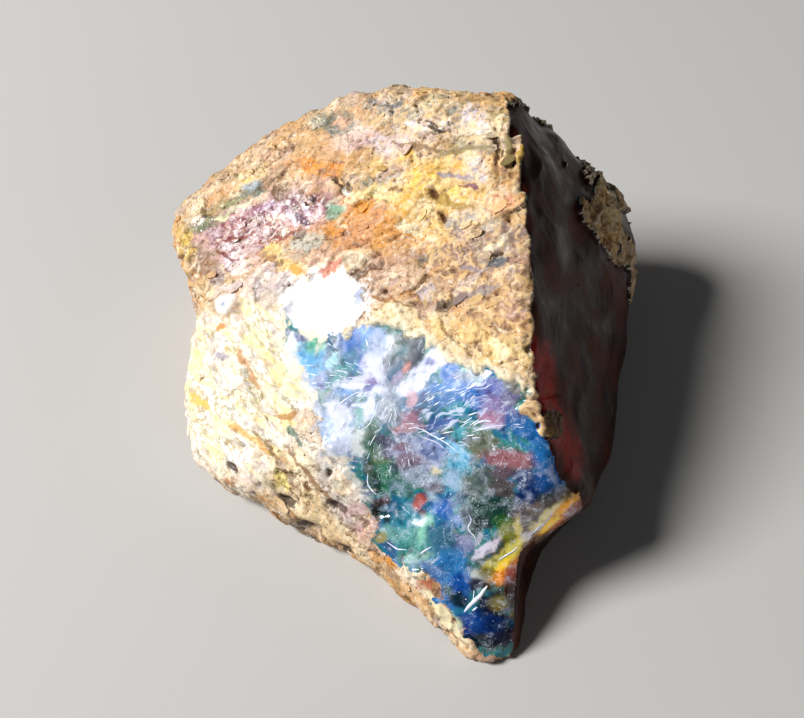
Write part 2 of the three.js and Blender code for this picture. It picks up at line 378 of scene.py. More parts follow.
# Marks in the broken face, in the same form.
FACE_MARKS = (
    # The sky blue and the bright blue lobes against the facet, and the teal tail between them.
    (-9.3, 7.2, 2.6, 1.6, 75, "#50B0E4"),
    (-11.2, 8.6, 1.2, 0.6, 70, "#DCE4EE"),
    (-8.6, 8.7, 1.1, 0.9, 0, "#5CB894"),
    (-10.2, 9.2, 0.6, 0.4, -20, "#5C6AA0"),
    (-7.4, 8.3, 0.4, 1.3, 12, "#4C7CA0"),
    (-8.2, 5.2, 1.1, 0.6, 40, "#9CB4E0"),
    (-8.3, 4.9, 0.35, 0.7, 20, "#8484C4"),
    (-6.3, 8.5, 0.5, 1.5, 10, "#E8EEF8"),
    (-4.5, 8.6, 1.8, 2.2, 10, "#1A80EA"),
    (-4.9, 7.7, 0.9, 0.5, 20, "#2470C8"),
    (-3.7, 9.6, 0.7, 0.9, 0, "#4A9CE4"),
    (-3.6, 8.2, 0.5, 0.8, 20, "#4CA0C0"),
    (-6.0, 6.3, 1.7, 0.75, 55, "#36A8A8"),
    (-5.1, 7.3, 0.7, 0.6, 30, "#4E9CC8"),
    (-7.0, 7.0, 0.4, 1.0, -30, "#A8DCE0"),
    (-8.9, 2.2, 0.8, 3.0, 18, "#D8DCE4"),
    (-8.0, -1.4, 0.9, 2.2, 30, "#E4E0D8"),
    (-10.8, 6.4, 0.7, 1.6, 20, "#CCD8E8"),
    (-5.6, -3.6, 1.6, 0.8, -45, "#D8D4C4"),
    # The white veil between the lobes.
    (-2.6, 8.9, 1.0, 1.3, -10, "#A8B8DC"),
    (-1.6, 8.7, 0.35, 1.1, -25, "#DCE2F2"),
    (-3.2, 6.5, 1.1, 1.5, -15, "#E4E0F6"),
    (-4.4, 4.9, 2.4, 0.55, 4, "#E6E4F4"),
    (-2.8, 4.9, 1.5, 1.3, 0, "#ECEAFA"),
    (-3.3, 5.0, 0.5, 0.4, 0, "#9C7CBC"),
    (-3.5, 4.2, 0.35, 0.7, -20, "#7C88CC"),
    (-6.0, 4.0, 1.0, 0.4, 8, "#4C9CE4"),
    (-7.0, 3.5, 0.7, 0.55, 30, "#347CAC"),
    (-7.7, 2.6, 0.5, 0.45, 45, "#4A7A84"),
    (-6.6, 1.4, 1.5, 1.8, -25, "#D8D8EC"),
    (-6.0, -0.6, 1.2, 1.5, -25, "#DCE0F0"),
    (-7.5, 0.6, 0.7, 1.3, 10, "#AEC6EA"),
    (-4.3, -0.7, 0.8, 1.5, -20, "#E6E6DA"),
    (-4.6, 2.4, 0.55, 1.3, 8, "#74B8B0"),
    (-5.1, 2.9, 0.5, 0.5, 0, "#5C7CA8"),
    (-3.4, 2.4, 0.6, 1.3, -15, "#DCDCF0"),
    # The dark oval and its pink streak.
    (-0.2, 7.4, 2.7, 1.5, 64, "#0A3048"),
    (0.8, 7.6, 1.7, 0.6, 72, "#1C2A4C"),
    (-1.1, 6.1, 1.2, 0.5, 62, "#2A6E9C"),
    (-0.6, 8.0, 0.8, 0.6, 30, "#227080"),
    (-0.4, 9.0, 0.9, 0.28, 35, "#1E4A3C"),
    (0.6, 8.7, 0.5, 0.35, 0, "#10143A"),
    (-0.1, 6.2, 0.75, 0.3, 58, "#E48878"),
    (-0.8, 5.5, 0.7, 0.4, 60, "#B8A0C4"),
    # White to its right, and the bright blue band with slanted streaks.
    (1.4, 5.9, 2.4, 0.75, 50, "#E8E8F8"),
    (2.9, 7.2, 1.1, 0.8, -30, "#F0EAF2"),
    (2.1, 6.9, 0.5, 0.5, 0, "#A0A4DC"),
    (0.0, 4.4, 1.4, 0.6, 10, "#E8E4F2"),
    (3.9, 5.9, 0.85, 0.9, 0, "#2A7CDC"),
    (5.1, 5.5, 0.8, 0.6, 0, "#2E649C"),
    (6.2, 5.9, 0.8, 0.4, 0, "#48647C"),
    (2.7, 4.5, 1.9, 0.4, 14, "#4690E0"),
    (5.6, 4.0, 1.9, 1.2, -8, "#3A80DC"),
    (3.6, 3.4, 2.2, 0.6, 15, "#3E84D0"),
    (1.6, 3.8, 0.7, 0.35, 20, "#3C64A8"),
    (2.1, 2.6, 0.8, 0.5, 20, "#227CA8"),
    (4.4, 2.5, 1.4, 0.5, 20, "#309CB0"),
    (3.0, 1.3, 1.6, 0.5, 15, "#5878C0"),
    (5.2, 0.7, 1.4, 0.55, 35, "#54AEBC"),
    (7.4, 1.1, 1.8, 0.3, 8, "#DCD0EC"),
    (7.9, 4.3, 1.2, 1.3, -15, "#7C84D0"),
    (8.0, 3.0, 1.4, 0.9, 0, "#9C84C0"),
    (7.9, 1.9, 1.3, 0.55, 0, "#C48CB0"),
    (9.1, 3.6, 0.8, 0.8, 0, "#8880AC"),
    (9.4, 4.6, 0.9, 0.5, -20, "#989088"),
    (9.6, 2.0, 0.8, 0.7, 0, "#7C80B8"),
    # The pink column below the heart, with grey and green to its left.
    (0.4, 3.4, 0.55, 0.7, 0, "#D89CA8"),
    (0.2, 1.7, 1.1, 0.7, -8, "#CC8C9C"),
    (0.0, 0.8, 1.5, 0.35, 8, "#D89C9C"),
    (1.2, 2.4, 0.6, 0.3, 20, "#7C6084"),
    (-1.6, 3.0, 0.9, 1.0, -30, "#8090A8"),
    (-1.7, 2.0, 1.0, 0.9, 0, "#5C7880"),
    (-3.2, 0.9, 0.7, 0.9, 0, "#3C7C60"),
    (-3.4, -0.5, 0.8, 0.9, 0, "#38704C"),
    (-2.6, -2.0, 0.8, 1.0, 0, "#7C9468"),
    (-2.0, -0.4, 1.0, 0.6, -15, "#4C4C68"),
    (-1.7, -1.5, 0.7, 0.6, 0, "#7C748C"),
    # The lilac and grey middle below the arc.
    (1.0, -1.3, 2.4, 1.5, -18, "#C0C4DE"),
    (-0.4, -0.9, 0.9, 0.5, 0, "#A47C8C"),
    (0.2, -2.2, 1.2, 0.7, 0, "#A88C9C"),
    (2.6, -0.8, 1.6, 0.6, -30, "#94A4D4"),
    (2.2, -1.6, 0.9, 0.4, -20, "#7080B8"),
    (2.2, -0.9, 0.3, 0.25, 0, "#3C3C6C"),
    (3.0, 0.0, 1.3, 0.4, -28, "#3C70B0"),
    (4.4, -1.0, 1.8, 0.45, -35, "#84C4E8"),
    (4.6, -2.6, 1.1, 0.9, -20, "#58B8D8"),
    (4.2, -3.9, 0.9, 1.3, -15, "#44A0C4"),
    (4.9, -5.4, 0.5, 0.6, -30, "#1A5A84"),
    (1.2, -3.6, 2.1, 0.9, -8, "#A8B4C4"),
    (2.6, -2.9, 0.5, 0.3, -30, "#E4D8B0"),
    (2.4, -4.6, 1.0, 0.5, -10, "#746C7C"),
    (2.3, -5.5, 0.9, 0.35, -20, "#94AEBC"),
    # Green and teal in the lower left.
    (-2.0, -3.9, 1.3, 1.2, 0, "#44906C"),
    (-0.7, -4.9, 1.1, 0.6, -25, "#4C8C84"),
    (-2.9, -4.3, 0.5, 1.0, 0, "#204030"),
    (-3.6, -3.2, 0.5, 0.8, 0, "#5C6C4C"),
    (-0.2, -7.3, 1.9, 1.6, 0, "#2C90A8"),
    (-1.3, -6.4, 0.8, 0.7, 0, "#16688C"),
    (1.2, -6.0, 0.55, 0.75, -30, "#CC5C48"),
    (1.4, -6.9, 0.45, 0.3, 0, "#6C3C58"),
    # Painted shade in the pit at the face's lower left.
    (-2.9, -6.9, 0.5, 1.0, -4, "#1A120C"),
    (-2.3, -6.0, 0.8, 0.4, 10, "#6A2A14"),
    (-1.9, -7.3, 0.4, 0.7, 0, "#28484C"),
    (0.4, -9.3, 1.9, 1.1, 0, "#5CA49C"),
    (1.7, -8.2, 0.4, 1.7, -22, "#84CCB0"),
    (-1.7, -8.8, 0.9, 0.8, 0, "#6CA49C"),
    (-2.4, -9.4, 0.6, 0.5, 0, "#A49854"),
    (3.2, -6.4, 1.0, 0.8, 0, "#3878D0"),
    (4.2, -7.7, 1.1, 0.6, 30, "#84A4D8"),
    (3.2, -9.0, 1.3, 1.2, 0, "#4880A0"),
    (5.2, -9.6, 0.8, 0.9, 0, "#8488B8"),
    (1.2, -10.9, 1.5, 0.5, 15, "#94C4B4"),
    (4.0, -11.8, 1.7, 1.7, -40, "#3A8CD4"),
    (2.3, -12.0, 1.3, 0.6, -20, "#6C94CC"),
    (4.9, -13.4, 0.9, 1.0, 0, "#1C64CC"),
    (3.4, -14.9, 1.2, 0.7, -20, "#4480C8"),
    (4.7, -14.7, 0.8, 0.5, -20, "#10283C"),
    (6.2, -12.4, 0.6, 0.6, 0, "#D8DCD8"),
    (6.3, -13.2, 0.7, 0.5, 0, "#142C54"),
    # Olive and red in the right half, out to the deep blue lobe.
    (6.7, -0.5, 1.4, 1.2, 0, "#7C8468"),
    (6.2, 0.9, 0.8, 0.5, 20, "#6C9484"),
    (6.6, -4.2, 1.7, 1.6, 0, "#66786C"),
    (8.5, -4.5, 1.2, 0.9, 0, "#685C58"),
    (9.2, -1.8, 2.4, 0.9, -4, "#A8646C"),
    (8.9, -3.1, 1.6, 0.5, 0, "#6C5464"),
    (11.0, 0.8, 2.4, 0.9, -26, "#2474C4"),
    (12.9, -1.4, 1.7, 2.4, 8, "#2A80D0"),
    (12.2, -3.9, 1.7, 1.1, 15, "#2464B8"),
    (10.6, -3.6, 1.0, 0.8, 0, "#3C4C84"),
    (11.0, -5.0, 1.2, 0.7, 10, "#16347C"),
    (13.4, -3.0, 0.7, 1.3, -20, "#2A78D4"),
    (8.2, -6.3, 1.6, 1.1, 0, "#0C4034"),
    (6.8, -6.4, 1.0, 1.2, 0, "#386050"),
    (6.9, -7.7, 0.8, 0.6, 0, "#1C342C"),
    (5.5, -7.2, 0.5, 1.2, 15, "#808C94"),
    # The amber rim: grey inside, then yellow and orange, and deep red brown outside.
    (11.8, -9.2, 6.4, 2.3, 41, "#5C3C10"),
    (10.8, -6.8, 1.7, 1.0, 20, "#78686C"),
    (12.9, -5.3, 1.2, 0.5, 20, "#48504C"),
    (14.8, -5.2, 1.9, 1.1, 30, "#6C4C0E"),
    (8.6, -7.5, 0.9, 0.6, 0, "#286820"),
    (9.2, -8.5, 0.9, 1.0, 0, "#8C8C0C"),
    (10.0, -8.2, 0.35, 1.1, 8, "#DCC454"),
    (11.6, -6.6, 1.5, 0.6, 40, "#8A7A70"),
    (12.5, -7.1, 2.0, 0.36, 43, "#F0E0A8"),
    (13.8, -6.9, 2.4, 0.5, 44, "#F0A008"),
    (13.0, -7.8, 1.2, 0.4, 40, "#F8C42C"),
    (14.3, -7.5, 1.6, 0.4, 42, "#C06408"),
    (15.1, -6.8, 1.2, 0.5, 50, "#8C3C04"),
    (10.9, -8.9, 0.8, 0.35, 40, "#E0D4E4"),
    (9.3, -10.3, 1.8, 0.5, 40, "#E8D85C"),
    (8.8, -11.5, 1.7, 0.7, 35, "#F4CC0C"),
    (7.8, -11.3, 1.2, 0.4, 40, "#C8B848"),
    (8.6, -12.5, 1.0, 0.7, 10, "#E88C08"),
    (10.2, -11.0, 1.4, 0.5, 48, "#C4700A"),
    (9.6, -12.6, 0.8, 0.8, 0, "#982C04"),
    (10.9, -11.8, 1.4, 0.6, 46, "#6C1804"),
    (9.6, -14.0, 0.9, 1.1, 0, "#4C1404"),
    (6.8, -10.3, 1.1, 0.45, 38, "#E4DCEE"),
    (7.9, -9.6, 0.9, 0.3, 50, "#D8CCD8"),
    (6.5, -9.2, 0.6, 0.25, 70, "#B8B4C8"),
    (7.2, -12.2, 0.8, 0.5, 0, "#8C7C34"),
    # The tip.
    (6.3, -17.0, 1.9, 1.3, 0, "#1448A4"),
    (7.2, -15.2, 1.1, 0.7, 45, "#0A1448"),
    (8.1, -16.8, 1.2, 1.1, 0, "#0E2470"),
    (7.0, -18.5, 1.8, 0.6, -8, "#080C24"),
    (8.9, -18.0, 1.1, 0.7, 10, "#2C1C48"),
    (10.2, -18.0, 0.5, 1.0, -15, "#C05C30"),
    (8.4, -15.0, 0.9, 0.6, 20, "#8C7C34"),
    (8.3, -15.9, 0.8, 0.25, -20, "#14100E"),
    (9.6, -16.1, 0.3, 0.5, 0, "#A08854"),
    (4.2, -17.0, 0.8, 0.9, 20, "#C4CCA0"),
)


def linear(hex_colour):
    """A hex sRGB colour as linear red, green, blue and a full alpha."""
    parts = [int(hex_colour[i:i + 2], 16) / 255 for i in (1, 3, 5)]
    return (*[p / 12.92 if p <= 0.04045 else ((p + 0.055) / 1.055) ** 2.4 for p in parts], 1.0)


def add(tree, kind, settings=None, feeds=None):
    """Adds one node with its settings and links.

    Each feed is a value, a hex colour, a node (its first output) or a pair of node and output. A
    colour ramp takes its stops as a setting.
    """
    new = tree.nodes.new(kind)
    for name, value in (settings or {}).items():
        if name == "stops":
            for index, (position, colour) in enumerate(value):
                stop = new.color_ramp.elements[index] if index < 2 else new.color_ramp.elements.new(position)
                stop.position, stop.color = position, linear(colour) if isinstance(colour, str) else colour
        else:
            setattr(new, name, value)
    for name, feed in (feeds or {}).items():
        if isinstance(feed, bpy.types.Node):
            tree.links.new(feed.outputs[0], new.inputs[name])
        elif isinstance(feed, tuple) and isinstance(feed[0], bpy.types.Node):
            tree.links.new(feed[0].outputs[feed[1]], new.inputs[name])
        else:
            new.inputs[name].default_value = linear(feed) if isinstance(feed, str) and feed[0] == "#" else feed
    return new


def new_tree(name, sizes):
    """An empty geometry tree with a named input for each size; the tree and its input node."""
    tree = bpy.data.node_groups.new(name, "GeometryNodeTree")
    tree.interface.new_socket("Geometry", in_out="INPUT", socket_type="NodeSocketGeometry")
    tree.interface.new_socket("Geometry", in_out="OUTPUT", socket_type="NodeSocketGeometry")
    for size, default in sizes.items():
        kind = "NodeSocketInt" if isinstance(default, int) else "NodeSocketFloat"
        tree.interface.new_socket(size, in_out="INPUT", socket_type=kind).default_value = default
    return tree, add(tree, "NodeGroupInput")


def end_tree(tree, geometry, material, second=None, where=None):
    """Ends a tree in plain mesh with its material, and a second one where a field says so."""
    real = add(tree, "GeometryNodeRealizeInstances", {}, {"Geometry": geometry})
    painted = add(tree, "GeometryNodeSetMaterial", {}, {"Geometry": real, "Material": material})
    if second:
        painted = add(tree, "GeometryNodeSetMaterial", {}, {
            "Geometry": painted, "Material": second, "Selection": where})
    add(tree, "NodeGroupOutput", {}, {"Geometry": painted})


def evaluated(holder, name):
    """The plain mesh of an object with its modifiers, which is then removed."""
    graph = bpy.context.evaluated_depsgraph_get()
    mesh = bpy.data.meshes.new_from_object(
        holder.evaluated_get(graph), preserve_all_data_layers=True, depsgraph=graph)
    bpy.data.objects.remove(holder)
    mesh.name = name
    return mesh


def grown(base, tree, sizes, name):
    """What the tree makes of a base mesh, as a plain mesh."""
    holder = bpy.data.objects.new(name + "_base", base)
    bpy.context.scene.collection.objects.link(holder)
    modifier = holder.modifiers.new(tree.name, "NODES")
    modifier.node_group = tree
    for socket in tree.interface.items_tree:
        if socket.in_out == "INPUT" and socket.name in sizes:
            modifier[socket.identifier] = sizes[socket.name]
    return evaluated(holder, name)


def placed(mesh, name):
    """A finished piece on the lump's body."""
    piece = bpy.data.objects.new(name, mesh)
    bpy.context.scene.collection.objects.link(piece)
    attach(piece, BODY)
    return piece


def read(mesh, source, kind):
    """Three numbers for each vertex, from its place or its normal."""
    flat = np.zeros(len(mesh.vertices) * 3)
    getattr(mesh, source).foreach_get(kind, flat)
    return flat.reshape(-1, 3)


def read_field(mesh, name, parts=1):
    """What is stored under a name, as one number or three for each vertex."""
    kind = "value" if parts == 1 else "vector"
    flat = np.zeros(len(mesh.vertices) * parts, dtype=np.float32)
    mesh.attributes[name].data.foreach_get(kind, flat)
    return flat.reshape(-1, parts) if parts > 1 else flat


def write_field(mesh, name, values):
    """Stores one number for each vertex under a name that trees and materials read."""
    field = mesh.attributes.new(name, "FLOAT", "POINT")
    field.data.foreach_set("value", np.asarray(values, dtype=np.float32))


def places(mesh):
    """Each vertex's place in mm, and where it lies in the broken face's frame: u and v."""
    points = read(mesh, "vertices", "co") / MM
    return points, points[:, 0], points @ np.array(FACE_V)


def clouds(points, size, octaves):
    """Fractal noise at each point, in patches of one size in mm."""
    return np.array([noise.fractal(Vector(p) / size, 0.6, 2.0, octaves) for p in points])


def smooth_step(low, high, values):
    """Nothing below low and one above high, or the other way round where low is the greater."""
    t = np.clip((values - low) / (high - low), 0, 1)
    return t * t * (3 - 2 * t)


def ellipse(u, v, centre_u, centre_v, half_u, half_v):
    """One inside an ellipse, falling to nothing outside it."""
    return 1 - smooth_step(0.7, 1.15, np.hypot((u - centre_u) / half_u, (v - centre_v) / half_v))


def segment_distance(u, v, start, end):
    """Distance from points to the straight line between two ends."""
    (ua, va), (ub, vb) = start, end
    du, dv = ub - ua, vb - va
    along = np.clip(((u - ua) * du + (v - va) * dv) / (du * du + dv * dv), 0, 1)
    return np.hypot(u - ua - along * du, v - va - along * dv)


def strip(u, v, start, end, half_width):
    """One along the line between two points, falling to nothing to either side."""
    return 1 - smooth_step(0.3, 1.0, segment_distance(u, v, start, end) / half_width)


def turned_offsets(du, dv, degrees):
    """Offsets from the middle of a turned shape, along it and across it."""
    c, s = math.cos(math.radians(degrees)), math.sin(math.radians(degrees))
    return du * c + dv * s, dv * c - du * s


def outline_distance(u, v, outline):
    """Signed distance in mm from points to a closed outline, positive inside it."""
    nearest = np.full(len(u), np.inf)
    inside = np.zeros(len(u), dtype=bool)
    for start, end in zip(outline, outline[1:] + outline[:1]):
        nearest = np.minimum(nearest, segment_distance(u, v, start, end))
        (ua, va), (ub, vb) = start, end
        if va != vb:
            inside ^= ((va > v) != (vb > v)) & (u < ua + (v - va) * (ub - ua) / (vb - va))
    return np.where(inside, nearest, -nearest)


def welded_lump(voxel):
    """The frame's lump as one welded mesh of even small faces."""
    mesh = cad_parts[NODE].data.copy()
    shell = bmesh.new()
    shell.from_mesh(mesh)
    bmesh.ops.remove_doubles(shell, verts=shell.verts, dist=0.01 * MM)
    shell.to_mesh(mesh)
    shell.free()
    holder = bpy.data.objects.new("weld", mesh)
    bpy.context.scene.collection.objects.link(holder)
    remesh = holder.modifiers.new("even faces", "REMESH")
    remesh.mode = "VOXEL"
    remesh.voxel_size = voxel
    relax = holder.modifiers.new("relax", "SMOOTH")
    relax.factor = 0.5
    relax.iterations = 7
    return evaluated(holder, "even lump")


def thinned(mesh, share):
    """The mesh with fewer faces, taken mostly from where it is hidden or even."""
    holder = bpy.data.objects.new("thin", mesh)
    bpy.context.scene.collection.objects.link(holder)
    group = holder.vertex_groups.new(name="spare")
    spare = np.round(1 - 0.85 * read_field(mesh, "front"), 1)
    for weight in np.unique(spare):
        group.add(np.nonzero(spare == weight)[0].tolist(), float(weight), "REPLACE")
    thin = holder.modifiers.new("thin", "DECIMATE")
    thin.ratio = share
    thin.vertex_group = group.name
    thin.vertex_group_factor = 1.0
    return evaluated(holder, LUMP)


def grounded(mesh):
    """The mesh with nothing below the floor it rests on."""
    points = read(mesh, "vertices", "co")
    points[:, 2] = np.maximum(points[:, 2], 0)
    mesh.vertices.foreach_set("co", points.ravel())
    mesh.update()
    return mesh


def write_marks(mesh, name, u, v, front, marks, softness):
    """Stores marks as one colour for each vertex, with their cover as its alpha, on the front only."""
    colour = np.zeros((len(u), 3))
    cover = np.zeros(len(u))
    for mark_u, mark_v, length, width, turn, tint in marks:
        near = np.nonzero(np.hypot(u - mark_u, v - mark_v) < 1.5 * max(length, width))[0]
        along, across = turned_offsets(u[near] - mark_u, v[near] - mark_v, turn)
        mask = 1 - smooth_step(1 - softness, 1 + softness, np.hypot(along / length, across / width))
        colour[near] = colour[near] * (1 - mask)[:, None] + np.array(linear(tint)[:3]) * mask[:, None]
        cover[near] = cover[near] * (1 - mask) + mask
    colour = colour / np.maximum(cover, 1e-4)[:, None]
    field = mesh.attributes.new(name, "FLOAT_COLOR", "POINT")
    field.data.foreach_set("color", np.column_stack((colour, cover * front)).astype(np.float32).ravel())


def pushed(points, size, reach):
    """How far noise of one size pushes each point, along the face's two axes."""
    push = np.array([noise.noise_vector(Vector(p) / size) for p in points])
    return push[:, 0] * reach, push[:, 1] * reach


def hollows(u, v, front):
    """How deep the hollows that stand alone on the lit sides are at each point, in mm."""
    deep = np.zeros(len(u))
    for middle_u, middle_v, length, width, turn, depth in DENTS:
        along, across = turned_offsets(u - middle_u, v - middle_v, turn)
        along, across = along / length, across / width
        deep += depth * np.exp(-1.2 * (along * along + across * across)) * front
    return deep


def write_regions(mesh):
    """Stores where the lump is broken to glass, which way it faces, how its crust grew and its dents."""
    points, u, v = places(mesh)
    facing = read(mesh, "vertex_normals", "vector")
    steep = facing[:, 0]
    front = smooth_step(-0.25, 0.05, facing @ np.array(FACE_OUT))
    wobble = clouds(points, 5.0, 4)

    # Distances in mm, positive where the glass shows: in the broken face and on the steep side,
    # where crust stays on the far shoulder and on a flap by the ridge.
    window = outline_distance(u, v, FACE_OUTLINE)
    window = np.where(front > 0.02, window, -30.0) - 6 * (1 - front) - 9 * smooth_step(0.5, 0.85, steep)
    shoulder = ellipse(u + 3 * wobble, v - 4 * wobble, 21.0, 22.8, 3.6, 6.0)
    flap = ellipse(u, v, 13.2, 1.3, 1.3, 1.7)
    side = (steep - 0.42) * 9 + 2.5 * wobble - 6 * np.maximum(shoulder, 0.8 * flap)

    flank = ellipse(u, v, -16.5, 4.5, 7.5, 9.5) * front
    plated = smooth_step(0.0, 0.35, wobble) * (1 - front)
    combed = np.maximum(
        smooth_step(-4, 3, u + 0.25 * (v - 16)) * front, smooth_step(0.0, -0.35, wobble) * (1 - front))
    facet = outline_distance(u, v, FACET) + 1.1 * clouds(points, 1.4, 3)
    outer_rim, toe_rim = (strip(u, v, *ends, half_width) for ends, half_width in RIM_LIGHT)
    for name, values in {
        "front": front, "window": window, "side": side, "flank": flank, "plated": plated,
        "dent": hollows(u, v, front) * MM,
        "combed": combed * (1 - plated) * (1 - flank),
        "streaked": np.clip(1 + 0.3 * flank - 0.45 * plated - 0.55 * combed, 0.25, 1.3),
        # The facet: flatter and glossier, and painted white as a highlight.
        "smoothed": smooth_step(-0.25, 0.25, facet) * front,
        "feathered": strip(u, v, (-11.0, 8.5), (-4.4, -5.5), 4.2) * front,
        # Where the steep side beside the ridge gives off a painted deep red glow.
        "glow": strip(u + wobble, v, (11.4, 8.4), (15.4, -2.6), 1.8) * smooth_step(0.28, 0.5, steep),
        # Where the face's amber rim gives off a painted glow of its own colour.
        "rim_painted_glow": np.maximum(outer_rim, toe_rim),
        "rimmed": smooth_step(2, 6, v) * front,
        "sugared": ellipse(u * 0.97 + v * 0.24, v * 0.97 - u * 0.24, -8.6, 23.7, 8.6, 3.1) * front,
        # Painted shade: where the crust on the steep side is darkened, kept off the far shoulder.
        "shaded": smooth_step(0.3, 0.6, steep) * (1 - 0.95 * shoulder),
        "satin": ellipse(u, v, -4.0, 6.0, 11.0, 7.5),
    }.items():
        write_field(mesh, name, values)


def paint_marks(mesh):
    """Paints the finished lump's zones and marks, which follow its crust's shards."""
    points, u, v = places(mesh)
    hop = read_field(mesh, "hop", 3)
    front = read_field(mesh, "front")
    hop_u, hop_v = hop[:, 0], hop @ np.array(FACE_V)
    noise.seed_set(MARK_SEED)
    wide_u, wide_v = pushed(points, 3.5, 1.6)
    near_u, near_v = pushed(points, 1.1, 0.5)
    fine_u, fine_v = pushed(points + 50.0, 0.4, 0.2)
    zone_u, zone_v = u + wide_u + 0.5 * hop_u, v + wide_v + 0.5 * hop_v
    u, v = u + near_u + fine_u, v + near_v + fine_v
    face_u, face_v = u - 0.4 * near_u, v - 0.4 * near_v
    broad = [mark for mark in CRUST_MARKS if mark[3] > SLIT_WIDTH]
    slits = [mark for mark in CRUST_MARKS if mark[3] <= SLIT_WIDTH] + list(RINGED_KNOT)
    for name, spot_u, spot_v, marks, softness in (
            ("zones", zone_u, zone_v, CRUST_ZONES, 0.5),
            ("crust_marks", u + 0.3 * hop_u, v + 0.3 * hop_v, broad, 0.5),
            ("slits", u, v, slits, 0.35), ("face_marks", face_u, face_v, FACE_MARKS, 0.5)):
        write_marks(mesh, name, spot_u, spot_v, front, marks, softness)


def write_aim(mesh):
    """Stores which way grain and feathers lie: along the crust's runs, and away from the heart of the face."""
    _, u, v = places(mesh)
    window = read_field(mesh, "window")
    slant = ellipse(u, v, 5.0, 2.6, 6.0, 3.6)
    du, dv = u - HEART[0], v - HEART[1]
    far = np.maximum(np.hypot(du, dv), 0.1)
    along = np.column_stack((du / far * (1 - slant) + 0.93 * slant, dv / far * (1 - slant) + 0.37 * slant))
    low = smooth_step(16, 8, v)[:, None]
    run = np.array(RUN_HIGH)[None, :] * (1 - low) + np.array(RUN_LOW)[None, :] * low
    feather = along @ np.array((FACE_U, FACE_V))
    aim = np.where(window[:, None] > -1.0, feather, run)
    field = mesh.attributes.new("aim", "FLOAT_VECTOR", "POINT")
    field.data.foreach_set("vector", aim.astype(np.float32).ravel())


